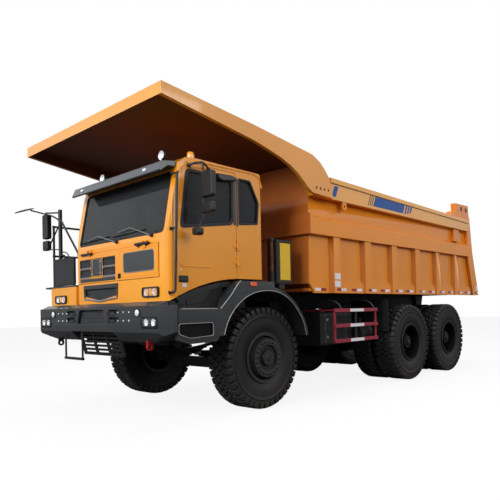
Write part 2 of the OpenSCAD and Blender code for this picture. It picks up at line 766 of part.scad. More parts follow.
// Front axle beam with a boss at each kingpin
module front_axle() {
    color("#2f3032") difference() {
        union() {
            front_prism([[-kingpin_x, boss_low], [-890, boss_low], [-790, 540], [790, 540],
                [890, boss_low], [kingpin_x, boss_low], [kingpin_x, boss_top], [900, boss_top],
                [770, 700], [-770, 700], [-900, boss_top], [-kingpin_x, boss_top]],
                front_y - 60, front_y + 60);
            both_sides() translate([kingpin_x, front_y, boss_low])
                cylinder(h = boss_top - boss_low, r = boss_r);
        }
        both_sides() translate([kingpin_x, front_y, boss_low - 1])
            cylinder(h = boss_top - boss_low + 2, r = kingpin_r + run_fit);
    }
}

module knuckle(side) {
    low = boss_low - move_gap - ear_t;
    top = boss_top + move_gap;
    web_x = kingpin_x + boss_r + 12;
    color("#2f3032") {
        translate([side > 0 ? 0 : -2 * kingpin_x, 0, 0]) {
            translate([kingpin_x, front_y, low]) cylinder(h = top + ear_t - low, r = kingpin_r);
            for (z = [low, top])
                translate([kingpin_x, front_y, z]) cylinder(h = ear_t, r = boss_r);
        }
        mirror([side > 0 ? 0 : 1, 0, 0]) {
            for (z = [low, top])
                block(kingpin_x, web_x, front_y - 70, front_y + 70, z, z + ear_t);
            block(web_x, web_x + 45, front_y - 70, front_y + 70, low, top + ear_t);
            cyl_x(front_spindle_r, web_x + 45, front_x + 70, front_y, axle_z);
            // Steering arm with its ball pin
            block(kingpin_x - 25, kingpin_x + 25, front_y, front_y + arm_y, low, low + ear_t);
            translate([kingpin_x, front_y + arm_y, low - 60]) cylinder(h = 60, r = ball_r);
            translate([kingpin_x, front_y + arm_y, low]) cylinder(h = ear_t, r = 38);
        }
    }
}

module tie_rod() {
    low = boss_low - move_gap - ear_t;
    z0 = low - 50;
    color("#3c3d3f") difference() {
        union() {
            cyl_x(22, -kingpin_x + 20, kingpin_x - 20, front_y + arm_y, z0 + 22);
            both_sides() translate([kingpin_x, front_y + arm_y, z0]) cylinder(h = 44, r = 38);
        }
        both_sides() translate([kingpin_x, front_y + arm_y, z0 - 1]) cylinder(h = 46, r = ball_r + run_fit);
    }
}

module drive_axle(y) {
    cyl_x(125, -860, 860, y, axle_z);
    cyl_x(240, -130, 170, y, axle_z);
    cyl_y(110, y - nose_len, y, 0, axle_z + 40);
    both_sides() cyl_x(rear_spindle_r, 860, twin_x + (tyre_w + twin_gap) / 2 - 30, y, axle_z);
    // Spring pads
    both_sides() block(555, 645, y - 110, y + 110, axle_z, axle_z + 150);
}

module drive_axles() {
    color("#2f3032") {
        drive_axle(mid_y);
        drive_axle(rear_y);
        cyl_y(90, mid_y, mid_y + 300, 0, axle_z + 40);
    }
}

module springs() {
    low = 700;
    color("#2c2d30") {
        both_sides() side_prism([[front_y - 760, 905], [front_y - 200, low + 10], [front_y - 100, low],
            [front_y + 100, low], [front_y + 200, low + 10], [front_y + 760, 905], [front_y + 760, 935],
            [front_y + 200, 815], [front_y + 100, 830], [front_y - 100, 830], [front_y - 200, 815],
            [front_y - 760, 935]], rail_in, rail_out);
        // Bogie springs over the trunnion
        both_sides() difference() {
            union() {
                side_prism([[mid_y - 100, axle_z + 150], [mid_y + 150, axle_z + 150], [trunnion_y - 120, 880],
                    [trunnion_y + 120, 880], [rear_y - 150, axle_z + 150], [rear_y + 100, axle_z + 150],
                    [rear_y + 100, axle_z + 185], [trunnion_y + 120, 1060], [trunnion_y - 120, 1060],
                    [mid_y - 100, axle_z + 185]], 555, 645);
                block(545, 660, trunnion_y - 120, trunnion_y + 120, 740, 880);
            }
            cyl_x(trunnion_r + run_fit, 540, 665, trunnion_y, 830);
        }
    }
}

// Shaft between two flat flanges
module prop_shaft(y0, z0, y1, z1, r) {
    cyl_y(r + 15, y0, y0 + 25, 0, z0);
    cyl_y(r + 15, y1 - 25, y1, 0, z1);
    bar([0, y0 + 12, z0], [0, y1 - 12, z1], r);
}

module drive_shafts() {
    color("#4a4c4f") {
        prop_shaft(front_y + 1200, 1100, mid_y - nose_len, axle_z + 40, 60);
        prop_shaft(mid_y + 300, axle_z + 40, rear_y - nose_len, axle_z + 40, 50);
    }
}

module seats() {
    color("#3a3b3d") for (x = [1080, -120]) {
        block(x - 200, x + 200, front_y - 950, front_y - 450, cab_floor + cab_wall, 2180);
        block(x - 250, x + 250, front_y - 1030, front_y - 500, 2180, 2310);
        side_prism([[front_y - 520, 2310], [front_y - 400, 2310], [front_y - 300, 3000],
            [front_y - 400, 3000]], x - 240, x + 240);
    }
}

module dashboard() {
    color("#2c2d30") {
        side_prism([[cab_y + cab_wall, 2000], [cab_y + 330, 2000], [cab_y + 380, 2300],
            [cab_y + 300, 2400], [cab_y + cab_wall + 10, 2400], [cab_y + cab_wall, 2380]],
            -cab_right + 130, cab_left - 130);
        // Steering column and wheel
        bar([1080, cab_y + 330, 2250], [1080, cab_y + 480, 2420], 30);
        translate([1080, cab_y + 480, 2420]) rotate([-41.4, 0, 0]) rotate_extrude()
            translate([225, 0]) circle(r = 17);
        translate([1080, cab_y + 480, 2420]) rotate([-41.4, 0, 0]) {
            cylinder(h = 20, r = 50);
            translate([-220, -18, 0]) cube([440, 36, 14]);
        }
    }
}

module mudguards() {
    color("#2c2d30") both_sides() {
        block(900, rear_track_out - 20, mid_y - 850, mid_y - 838, 1000, 1600);
        block(rail_out, 900, mid_y - 858, mid_y - 830, 1330, 1400);
    }
}

module door_shell() {
    x1 = cab_left;
    x0 = x1 - door_t;
    color("#e09a2a") {
        difference() {
            side_prism(door_outline(door_gap), x0, x1);
            cyl_x(sweep_r, x0 - 1, x1 + 1, sweep_y, cab_floor - sweep_r, $fn = 240);
            block(x0 - 1, x1 + 1, sweep_y, door_rear_y + 10, cab_floor - 410, cab_floor);
            side_prism(side_window(0), x0 - 1, x1 + 1);
        }
        for (z = [2080, 2300]) difference() {
            union() {
                translate([door_axis_x, door_rear_y + 3, z]) cylinder(h = 60, r = 15);
                block(cab_left, door_axis_x - 8, door_rear_y - 60, door_rear_y - 1, z, z + 60);
            }
            translate([door_axis_x, door_rear_y + 3, z - 1]) cylinder(h = 62, r = 8 + run_fit);
        }
    }
}

module door_glass() {
    x = cab_left - door_t / 2;
    color([0.15, 0.17, 0.2, 0.5]) side_prism(side_window(seat_gap), x - pane_t / 2, x + pane_t / 2);
}

module front_flap() {
    y0 = cab_y - flap_proud;
    y1 = y0 + cab_wall;
    color("#f0aa32") {
        difference() {
            block(-flap_right, flap_left, y0, y1, flap_low, flap_top);
            front_prism(round_rect(-560, 420, 1895, 2228, 15), y0 - 1, y0 + 25);
            front_prism(round_rect(610, 1330, 1968, 2240, 50), y0 - 1, y0 + 12);
        }
        for (x = [-300, 1090]) difference() {
            union() {
                cyl_x(9, x, x + 60, flap_axis_y, flap_axis_z);
                block(x, x + 60, flap_axis_y, y0, flap_top - 40, flap_top);
                block(x, x + 60, flap_axis_y, flap_axis_y + 8, flap_top - 1, flap_axis_z);
            }
            cyl_x(5 + run_fit, x - 1, x + 61, flap_axis_y, flap_axis_z);
        }
    }
    // Upper grille: a blank plate in the middle, a bar on each side of it and a strip below
    color("#3a3c40") {
        block(-240, 80, y0 + 3, y0 + 25, 1968, 2218);
        for (x = [-560, 80]) block(x, x + (x < 0 ? 320 : 340), y0 + 8, y0 + 25, 2078, 2104);
        block(-560, 420, y0 + 5, y0 + 25, 1895, 1962);
    }
}

// Dump body: floor, walls, ribs, bands, top rails and the pivot
module body_side() {
    // Wall
    side_prism([[front_y + 1043, body_low], [tail_y, body_low], [tail_y - 320, 2725],
        [post_top_y, post_top_z - 60], [front_wall_y, top_rail_front - 40], [front_wall_y, front_wall_low]],
        wall_in, wall_out);
    // Band at mid height with a chamfered top
    front_prism([[wall_out, band_low], [body_half + 20, band_low], [body_half + 20, band_top - 70],
        [wall_out, band_top]], front_wall_y - 70, tail_y - 590);
    // Ribs below the band
    for (i = [0:rib_count - 1]) let (y = front_y + 1550 + rib_pitch * i)
        plan_prism([[wall_out, y - 130], [body_half, y - 80], [body_half, y + 110], [wall_out, y + 130]],
            body_low, band_low);
    // Rear post
    side_prism([[tail_y, body_low], [tail_y - 330, body_low], [tail_y - 375, 1876], [tail_y - 596, 2614],
        [tail_y - 620, top_rail_low], [tail_y - 640, top_rail_rear], [post_top_y, post_top_z],
        [tail_y - 320, 2725]], wall_out, body_half);
    // Top rail
    side_prism([[front_wall_y, top_rail_low], [tail_y - 620, top_rail_low], [tail_y - 640, top_rail_rear],
        [front_wall_y, top_rail_front]], wall_out, rail_face);
    // Lower edge strip with its sloped ledge
    front_prism([[wall_out, body_low], [wall_out + 50, body_low], [wall_out + 50, 1850], [wall_out, 1940]],
        front_y + 1660, tail_y - 420);
    // Cap along the top rail
    side_prism([[front_y + 1356, rail_line(1356) - 75], [tail_y - 640, top_rail_rear - 75],
        [tail_y - 640, top_rail_rear], [front_y + 1356, rail_line(1356)]], rail_face, rail_face + 16);
}

module dump_body() {
    color("#c57a20") difference() {
        union() {
            both_sides() body_side();
            // Floor
            block(-wall_in, wall_in, front_wall_y + 40, tail_y, floor_low, floor_top);
            // Front wall up to the canopy
            side_prism([[front_wall_y, front_wall_low], [front_wall_y + 40, front_wall_low],
                [front_wall_y + 40, hood_under(960)], [front_wall_y, hood_under(920)]], -wall_in, wall_in);
            side_prism([[front_wall_y, front_wall_low], [front_wall_y + 40, front_wall_low],
                [front_y + 1043, floor_low], [front_y + 1200, floor_low], [front_y + 1200, floor_top],
                [front_y + 1083, floor_top], [front_wall_y + 40, 1880]], -wall_in, wall_in);
            block(-body_half - 20, body_half + 20, front_wall_y - 70, front_wall_y, band_low, band_top);
            // Lifting eyes below the top rail
            both_sides() front_lug();
        }
        both_sides() cyl_x(25, rail_face - 41, rail_face - 9, front_y + 1760, 3160);
    }
}

// What carries the bed: stringers, the pivot's brackets and pin, and the ears of the hoist
module bed_subframe() {
    color("#5c3414") {
        both_sides() {
            block(rail_in + 5, rail_out - 5, front_y + 1300, pivot_y + 250, rail_top + move_gap, floor_low);
            side_prism([[pivot_y - 200, floor_low], [pivot_y - 70, pivot_z - 60],
                [pivot_y + 70, pivot_z - 60], [pivot_y + 200, floor_low]], rail_out + 6, rail_out + 66);
            for (s = [-ear_side - 30, ear_side])
                side_prism([[hoist_eye_y - 160, floor_low], [hoist_eye_y - 60, hoist_eye_z - 60],
                    [hoist_eye_y + 60, hoist_eye_z - 60], [hoist_eye_y + 160, floor_low]],
                    hoist_x + s, hoist_x + s + 30);
        }
        cyl_x(pivot_r, -rail_out - 66, rail_out + 66, pivot_y, pivot_z);
    }
}

module front_lug() {
    cyl_x(60, rail_face - 40, rail_face - 10, front_y + 1760, 3160);
    block(rail_face - 40, rail_face - 10, front_y + 1700, front_y + 1820, 3160, top_rail_low);
}

// Canopy over the cab: top plate, front lip and side flanges
module canopy() {
    side_outline = [[front_y - canopy_front, 4132], [front_y - 408, 3985], [front_y + 834, 3838],
        [front_y + 1014, 3756], [front_y + 1135, 3664], [front_y + 1243, 3547], [front_y + 1300, 3440],
        [front_y + 1345, 3229], [front_y + 828, 3249], [front_y + 726, 3299], [front_y + 502, 3473],
        [front_y + 312, 3574], [front_y + 101, 3648], [front_y - 224, 3727], [front_y - 461, 3776],
        [front_y - canopy_front, 3984]];
    top_outline = [[front_y - canopy_front, 4132], [front_y - 408, 3985], [front_y + 834, 3838],
        [front_wall_y + 40, hood_under(960) + 30], [front_wall_y + 40, hood_under(960)],
        [front_y + 834, 3808], [front_y - 408, 3955],
        [front_y - canopy_front, 4102]];
    color("#e09a2a") {
        both_sides() difference() {
            side_prism(side_outline, canopy_in, canopy_half);
            for (i = [0:3]) cyl_x(22, canopy_half - 20, canopy_half + 1, front_y + 922 + 100 * i, 3339);
        }
        side_prism(top_outline, -canopy_in, canopy_in);
        block(-canopy_in, canopy_in, front_y - canopy_front, front_y - canopy_front + 30, 3984, 4110);
    }
}

// Hoist: two barrels on the frame's pins, two rods whose eyes sit between the body's ears
module along_hoist(x) {
    translate([x, hoist_base_y, hoist_base_z]) rotate([hoist_tilt - 90, 0, 0]) children();
}

module hoist_barrels() {
    color("#3c3d3f") for (x = [-hoist_x, hoist_x]) difference() {
        union() {
            along_hoist(x) translate([0, 0, 50]) cylinder(h = 2000, r = barrel_r);
            cyl_x(75, x - 80, x + 80, hoist_base_y, hoist_base_z);
        }
        cyl_x(hoist_pin_r + run_fit, x - 120, x + 120, hoist_base_y, hoist_base_z);
        along_hoist(x) translate([0, 0, 130]) cylinder(h = 1940, r = rod_r + run_fit);
    }
}

module hoist_rods() {
    color("#c8cacc") for (x = [-hoist_x, hoist_x]) {
        along_hoist(x) translate([0, 0, 140]) cylinder(h = hoist_len - 140, r = rod_r);
        cyl_x(rod_eye_r, x - rod_eye_half, x + rod_eye_half, hoist_eye_y, hoist_eye_z);
    }
}

frame_rails();
crossmembers();
front_bumper();
skid_plate();
lamps();
cab_shell();
cab_glass();
visor();
mirror_right();
fenders();
walkway();
engine();
air_cleaner();
tanks();
side_guards();
front_axle();
drive_axles();
springs();
drive_shafts();
seats();
dashboard();
door_shell();
door_glass();
mirror_left();
front_flap();
dump_body();
bed_subframe();
canopy();
hoist_barrels();
hoist_rods();
knuckle(1);  // knuckle_left
knuckle(-1);  // knuckle_right
tie_rod();
front_tyre(1);  // front_tyre_left
facing(1, front_x, front_y) front_rim();  // front_rim_left
front_tyre(-1);  // front_tyre_right
facing(-1, front_x, front_y) front_rim();  // front_rim_right
twin_tyres(1, mid_y);  // mid_tyres_left
facing(1, twin_x, mid_y) twin_rims();  // mid_rims_left
twin_tyres(-1, mid_y);  // mid_tyres_right
facing(-1, twin_x, mid_y) twin_rims();  // mid_rims_right
twin_tyres(1, rear_y);  // rear_tyres_left
facing(1, twin_x, rear_y) twin_rims();  // rear_rims_left
twin_tyres(-1, rear_y);  // rear_tyres_right
facing(-1, twin_x, rear_y) twin_rims();  // rear_rims_right
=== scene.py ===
import json
import math

import bmesh
import bpy
from mathutils import Matrix, Vector


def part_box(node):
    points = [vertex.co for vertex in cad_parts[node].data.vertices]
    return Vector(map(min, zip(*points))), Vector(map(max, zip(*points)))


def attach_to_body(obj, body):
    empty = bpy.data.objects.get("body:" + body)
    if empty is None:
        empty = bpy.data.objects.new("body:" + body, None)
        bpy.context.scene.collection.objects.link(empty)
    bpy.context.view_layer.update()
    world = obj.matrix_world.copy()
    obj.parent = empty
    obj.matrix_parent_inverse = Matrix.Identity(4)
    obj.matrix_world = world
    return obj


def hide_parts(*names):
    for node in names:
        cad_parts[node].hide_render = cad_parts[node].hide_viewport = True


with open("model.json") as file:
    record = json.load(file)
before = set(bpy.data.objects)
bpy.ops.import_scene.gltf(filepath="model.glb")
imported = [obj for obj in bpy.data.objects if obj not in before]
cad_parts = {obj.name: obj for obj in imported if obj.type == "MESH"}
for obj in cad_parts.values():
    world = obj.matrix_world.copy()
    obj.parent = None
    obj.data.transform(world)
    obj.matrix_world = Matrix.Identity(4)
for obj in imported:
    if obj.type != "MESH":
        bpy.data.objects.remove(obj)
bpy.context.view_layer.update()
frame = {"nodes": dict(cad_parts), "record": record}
nodes = frame["nodes"]
print("frame loaded:", len(nodes), "nodes")

# Places that the whole scene is worked out from, in metres
frontLow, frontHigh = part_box("front_rim_left")
axleZ = (frontLow.z + frontHigh.z) / 2
frontY = (frontLow.y + frontHigh.y) / 2
midY = sum(corner.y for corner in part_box("mid_rims_left")) / 2
rearY = sum(corner.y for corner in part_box("rear_rims_left")) / 2

# Trim is given with Y as the distance behind the front axle, and the drawing functions add frontY
cabLeft = 1.6
cabRight = -0.7
cabFace = -1.735
cabBack = -0.06
cabRoof = 3.4

# Camera, solved from the photograph's wheels
cameraSetup = {
    "place": (6.926, frontY - 5.582, 1.44),
    "yaw": 0.7211,
    "pitch": 0.013,
    "roll": -0.0219,
    "lens": 38.14,
    "shiftX": -0.0795,
    "shiftY": 0.1056,
}


def makeCamera(setup):
    yaw, pitch, roll = setup["yaw"], setup["pitch"], setup["roll"]
    ahead = Vector((-math.sin(yaw) * math.cos(pitch), math.cos(yaw) * math.cos(pitch), math.sin(pitch)))
    right = ahead.cross(Vector((0, 0, 1))).normalized()
    up = right.cross(ahead)
    rolledRight = right * math.cos(roll) + up * math.sin(roll)
    rolledUp = up * math.cos(roll) - right * math.sin(roll)
    data = bpy.data.cameras.new("camera")
    data.lens = setup["lens"]
    data.sensor_width = 36
    data.shift_x = setup["shiftX"]
    data.shift_y = setup["shiftY"]
    camera = newObject("camera", data)
    turn = Matrix((rolledRight, rolledUp, -ahead)).transposed()
    camera.matrix_world = Matrix.Translation(setup["place"]) @ turn.to_4x4()
    bpy.context.scene.camera = camera


def newObject(name, data):
    obj = bpy.data.objects.new(name, data)
    bpy.context.scene.collection.objects.link(obj)
    return obj


makeCamera(cameraSetup)


# A node group with its sockets, and what goes into it and comes out of it
def newTree(name, kind, inputs, outputs):
    tree = bpy.data.node_groups.new(name, kind)
    for label, sort, *value in inputs:
        socket = tree.interface.new_socket(name=label, in_out="INPUT", socket_type="NodeSocket" + sort)
        if value:
            socket.default_value = value[0]
    for label, sort in outputs:
        tree.interface.new_socket(name=label, in_out="OUTPUT", socket_type="NodeSocket" + sort)
    return tree, tree.nodes.new("NodeGroupInput").outputs, tree.nodes.new("NodeGroupOutput").inputs


# The outputs of a new node, whose inputs are plain values or the outputs of other nodes
def addNode(tree, kind, inputs=None, **settings):
    node = tree.nodes.new(kind)
    for key, value in settings.items():
        setattr(node, key, value)
    for key, value in (inputs or {}).items():
        if isinstance(value, bpy.types.NodeSocket):
            tree.links.new(value, node.inputs[key])
        else:
            node.inputs[key].default_value = value
    return node.outputs


def reckon(tree, operation, *inputs, clamp=False):
    return addNode(tree, "ShaderNodeMath", dict(enumerate(inputs)), operation=operation, use_clamp=clamp)[0]


def ranged(tree, value, low, high, toLow=0, toHigh=1):
    ends = {"Value": value, "From Min": low, "From Max": high, "To Min": toLow, "To Max": toHigh}
    return addNode(tree, "ShaderNodeMapRange", ends)["Result"]


def mixed(tree, factor, a, b):
    return addNode(tree, "ShaderNodeMix", {"Factor": factor, "A": a, "B": b}, data_type="RGBA")["Result"]


# Broken colour, varied gloss and fine relief for any painted, moulded or cast surface
def makeFinishGroup():
    tree, into, out = newTree("surfaceFinish", "ShaderNodeTree", [
        ("Color", "Color", (0.5, 0.5, 0.5, 1)), ("Patch Scale", "Float", 2.0), ("Patch Depth", "Float", 0.05),
        ("Grain Scale", "Float", 300.0), ("Roughness", "Float", 0.4), ("Roughness Spread", "Float", 0.1),
        ("Dust Color", "Color", (0.3, 0.25, 0.2, 1)), ("Dust Amount", "Float", 0.0),
        ("Dust Height", "Float", 1.2), ("Edge Color", "Color", (0.5, 0.5, 0.5, 1)),
        ("Edge Amount", "Float", 0.0),
    ], [("Color", "Color"), ("Roughness", "Float"), ("Height", "Float")])
    place = addNode(tree, "ShaderNodeTexCoord")["Object"]
    patches, grain = [
        addNode(tree, "ShaderNodeTexNoise", {"Vector": place, "Scale": into[scale], "Detail": detail})["Fac"]
        for scale, detail in (("Patch Scale", 4), ("Grain Scale", 2))]
    # Patches lighten and darken the colour about its own value
    depth = into["Patch Depth"]
    swing = ranged(tree, patches, 0.3, 0.7, reckon(tree, "SUBTRACT", 1, depth), reckon(tree, "ADD", 1, depth))
    tone = addNode(tree, "ShaderNodeVectorMath", {0: into["Color"], "Scale": swing}, operation="SCALE")[0]
    # Dust gathers low down
    height = addNode(tree, "ShaderNodeSeparateXYZ", {0: place})["Z"]
    cloud = reckon(tree, "MULTIPLY", ranged(tree, height, 0, into["Dust Height"], 1, 0), patches)
    dust = reckon(tree, "MULTIPLY", cloud, into["Dust Amount"], clamp=True)
    dusty = mixed(tree, dust, tone, into["Dust Color"])
    # Paler edges where the surface is sharply convex: partly wear, partly painted highlight
    sharp = ranged(tree, addNode(tree, "ShaderNodeNewGeometry")["Pointiness"], 0.53, 0.6)
    edgeWearAndHighlight = reckon(tree, "MULTIPLY", sharp, into["Edge Amount"], clamp=True)
    tree.links.new(mixed(tree, edgeWearAndHighlight, dusty, into["Edge Color"]), out["Color"])
    # Gloss varies with the patches, and dust dulls it
    centred = reckon(tree, "SUBTRACT", patches, 0.5)
    spread = reckon(tree, "MULTIPLY_ADD", centred, into["Roughness Spread"], into["Roughness"])
    tree.links.new(reckon(tree, "MULTIPLY_ADD", dust, 0.5, spread, clamp=True), out["Roughness"])
    tree.links.new(grain, out["Height"])
    return tree


finishGroup = makeFinishGroup()
materials = {}


def newMaterial(name, values):
    material = materials[name] = bpy.data.materials.new(name)
    material.use_nodes = True
    shader = material.node_tree.nodes["Principled BSDF"].inputs
    for key, value in values.items():
        shader[key].default_value = value
    return material, material.node_tree, shader


# A material whose colour, gloss and relief vary through the finish group
def finish(name, color, roughness, metallic=0.0, coat=0.0, bump=0.05, depth=0.0004, specular=0.3, **grouped):
    material, tree, shader = newMaterial(name, {
        "Metallic": metallic, "Coat Weight": coat, "Coat Roughness": 0.06, "Specular IOR Level": specular})
    # The edge colour is a paler copy of the colour, for wear and painted highlights along sharp edges
    edge = [min(1, c * 1.6 + 0.03) for c in color]
    values = {"Color": (*color, 1), "Edge Color": (*edge, 1), "Roughness": roughness}
    values.update({key.replace("_", " ").title(): value for key, value in grouped.items()})
    made = addNode(tree, "ShaderNodeGroup", values, node_tree=finishGroup)
    relief = addNode(tree, "ShaderNodeBump", {"Strength": bump, "Distance": depth, "Height": made["Height"]})
    tree.links.new(made["Color"], shader["Base Color"])
    tree.links.new(made["Roughness"], shader["Roughness"])
    tree.links.new(relief["Normal"], shader["Normal"])
    return material


def glassFinish(name, color, transmission, ior=1.45):
    return newMaterial(name, {
        "Base Color": (*color, 1), "Transmission Weight": transmission, "Roughness": 0.02, "IOR": ior})[0]


cabPaint = finish("cabPaint", (0.86, 0.312, 0.008), 0.34, coat=0.8, patch_depth=0.03, patch_scale=1.4,
    edge_amount=0.25, dust_amount=0.1, bump=0.04)
weathered = {"patch_depth": 0.05, "patch_scale": 1.1, "dust_height": 2.4, "bump": 0.06}
bodyPaint = finish("bodyPaint", (0.75, 0.22, 0.005), 0.38, coat=0.45, edge_amount=0.3, dust_amount=0.12,
    **weathered)
canopyPaint = finish("canopyPaint", (0.78, 0.305, 0.03), 0.36, coat=0.85, edge_amount=0.3, dust_amount=0.12,
    **weathered)
# The next three finishes are darker copies of the body's orange that stand in for shade
bodyShade = finish("bodyShade", (0.5, 0.14, 0.008), 0.45, dust_amount=0.1, **weathered)
paintedShadeBrown = finish("paintedShadeBrown", (0.13, 0.038, 0.014), 0.5, patch_depth=0.12, patch_scale=0.9, bump=0.08)
wallPaintedShade = finish("wallPaintedShade", (0.6, 0.165, 0.03), 0.36, coat=0.35, patch_depth=0.08, patch_scale=0.9,
    bump=0.06)
bumperPaint = finish("bumperPaint", (0.03, 0.032, 0.035), 0.36, coat=0.25, patch_depth=0.08, edge_amount=0.8,
    dust_amount=0.08, bump=0.15, grain_scale=700.0)
framePaint = finish("framePaint", (0.01, 0.01, 0.011), 0.5, patch_depth=0.15, edge_amount=0.3,
    dust_amount=0.1, bump=0.2, grain_scale=220.0)
blackPlastic = finish("blackPlastic", (0.014, 0.015, 0.016), 0.45, patch_depth=0.08, bump=0.25,
    grain_scale=900.0)
meshBlack = finish("meshBlack", (0.075, 0.079, 0.086), 0.42, patch_depth=0.08, bump=0.1)
tyreRubber = finish("tyreRubber", (0.0095, 0.0096, 0.01), 0.56, patch_depth=0.2, patch_scale=6.0,
    roughness_spread=0.2, dust_amount=0.12, dust_height=0.5, edge_amount=0.4, bump=0.3, grain_scale=260.0,
    depth=0.0008)
hubSteel = finish("hubSteel", (0.05, 0.052, 0.055), 0.38, metallic=0.3, patch_depth=0.15, patch_scale=9.0,
    bump=0.15)
rimPaint = finish("rimPaint", (0.015, 0.016, 0.017), 0.36, coat=0.06, patch_depth=0.1, edge_amount=0.6,
    dust_amount=0.1, bump=0.1)
rubberSeal = finish("rubberSeal", (0.01, 0.01, 0.011), 0.5, bump=0.1)
guardPaint = finish("guardPaint", (0.26, 0.018, 0.036), 0.42, coat=0.1, patch_depth=0.08, edge_amount=0.4,
    bump=0.08)
steel = finish("steel", (0.62, 0.63, 0.65), 0.22, metallic=1.0, patch_depth=0.06, bump=0.03)
dullSteel = finish("dullSteel", (0.42, 0.43, 0.45), 0.38, metallic=1.0, patch_depth=0.1, bump=0.1)
castIron = finish("castIron", (0.05, 0.05, 0.052), 0.55, metallic=0.3, patch_depth=0.15, bump=0.5,
    grain_scale=90.0)
seatCloth = finish("seatCloth", (0.045, 0.047, 0.052), 0.85, patch_depth=0.1, bump=0.5, grain_scale=1200.0)
whitePaint = finish("whitePaint", (0.8, 0.81, 0.82), 0.3, bump=0.03, patch_depth=0.02)
redReflector = finish("redReflector", (0.34, 0.01, 0.012), 0.25, coat=0.6, bump=0.1, grain_scale=1500.0)
bluePaint = finish("bluePaint", (0.01, 0.075, 0.31), 0.35, bump=0.03, patch_depth=0.03)
yellowPlate = finish("yellowPlate", (0.8, 0.5, 0.03), 0.35, bump=0.03, patch_depth=0.03)
redPaint = finish("redPaint", (0.42, 0.012, 0.01), 0.4, bump=0.1)
rustPaint = finish("rustPaint", (0.13, 0.045, 0.025), 0.7, patch_depth=0.25, patch_scale=8.0, bump=0.4)
markerLens = finish("markerLens", (0.85, 0.13, 0.02), 0.18, coat=0.8, bump=0.2, grain_scale=800.0)
beaconLens = finish("beaconLens", (0.9, 0.34, 0.03), 0.15, coat=0.9, bump=0.2, grain_scale=500.0)
lampMirror = finish("lampMirror", (0.92, 0.92, 0.93), 0.12, metallic=1.0, bump=0.02)
lampWhite = finish("lampWhite", (0.93, 0.94, 0.95), 0.3, metallic=0.35, patch_depth=0.02, bump=0.05,
    grain_scale=600.0)
greyPanel = finish("greyPanel", (0.044, 0.046, 0.05), 0.32, coat=0.2, bump=0.03)
slateTrim = finish("slateTrim", (0.034, 0.036, 0.039), 0.32, coat=0.1, bump=0.05)
visorPaint = finish("visorPaint", (0.082, 0.092, 0.102), 0.35, coat=0.3, bump=0.05, patch_depth=0.05)
deckPlate = finish("deckPlate", (0.045, 0.046, 0.048), 0.5, metallic=0.4, patch_depth=0.15, edge_amount=0.5,
    bump=0.2)
blackGloss = finish("blackGloss", (0.012, 0.012, 0.013), 0.22, coat=0.5, bump=0.1, grain_scale=700.0)
# Pale grey for painted highlights along edges
paintedHighlightEdge = finish("paintedHighlightEdge", (0.36, 0.37, 0.38), 0.4, metallic=0.4, patch_depth=0.1, bump=0.1)
# Near black that stands in for shade in deep recesses
paintedShadeBlack = finish("paintedShadeBlack", (0.005, 0.005, 0.006), 0.65, specular=0.12, bump=0.1)
darkGlass = glassFinish("darkGlass", (0.1, 0.11, 0.115), 0.8, 1.22)
lampGlass = glassFinish("lampGlass", (0.95, 0.96, 0.97), 1.0)
print("materials:", len(materials))

# What each record slot is finished with
slotFinish = {
    "frame_black": framePaint, "bumper_grey": bumperPaint, "cab_orange": cabPaint, "body_orange": bodyPaint,
    "tinted_glass": darkGlass, "lamp": whitePaint, "amber_lens": beaconLens, "black_plastic": blackPlastic,
    "black_rubber": rubberSeal, "engine_grey": castIron, "guard_maroon": guardPaint,
    "seat_fabric": seatCloth, "bright_steel": steel, "tyre": tyreRubber, "rim_grey": rimPaint,
}
nodeSlot = {part["node"]: part["material_slot"] for part in frame["record"]["subparts"]}
for name, node in nodes.items():
    node.data.materials.clear()
    node.data.materials.append(slotFinish[nodeSlot[name]])
# Painted shade: the twin rims are near black all over, as their recesses lie in the dark
for name in ("mid_rims_left", "mid_rims_right", "rear_rims_left", "rear_rims_right"):
    nodes[name].data.materials[0] = paintedShadeBlack
bodyOf = {name: body for body, members in frame["record"]["behaviour"]["bodies"].items() for name in members}


# Making meshes
def meshFrom(bm, name, material):
    mesh = bpy.data.meshes.new(name)
    bm.to_mesh(mesh)
    bm.free()
    mesh.materials.append(material)
    return newObject(name, mesh)


def evaluated(obj):
    seen = bpy.context.evaluated_depsgraph_get()
    return bpy.data.meshes.new_from_object(obj.evaluated_get(seen), depsgraph=seen)


# The object with its modifiers turned into plain mesh
def applied(obj):
    mesh = evaluated(obj)
    obj.modifiers.clear()
    old = obj.data
    obj.data = mesh
    bpy.data.meshes.remove(old)
    return obj


def modified(obj, kind, **settings):
    modifier = obj.modifiers.new(kind.lower(), kind)
    for key, value in settings.items():
        setattr(modifier, key, value)
    return modifier


# Rounds the sharp edges and keeps the flats flat
def roundEdges(obj, width, segments=2, angle=30):
    obj.data.shade_smooth()
    modified(obj, "BEVEL", width=width, segments=segments, limit_method="ANGLE",
        angle_limit=math.radians(angle), use_clamp_overlap=True)
    modified(obj, "WEIGHTED_NORMAL", weight=80, keep_sharp=True)
    return applied(obj)


# A copy of a CAD node with its sharp edges rounded, which takes the node's place
def softened(node, width, joinFlats):
    bm = bmesh.new()
    bm.from_mesh(nodes[node].data)
    bmesh.ops.remove_doubles(bm, verts=bm.verts, dist=0.00005)
    if joinFlats:
        bmesh.ops.dissolve_limit(bm, angle_limit=math.radians(1), verts=bm.verts, edges=bm.edges)
    obj = meshFrom(bm, node + "_shape", slotFinish[nodeSlot[node]])
    roundEdges(obj, width)
    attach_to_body(obj, bodyOf[node])
    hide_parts(node)
    return obj


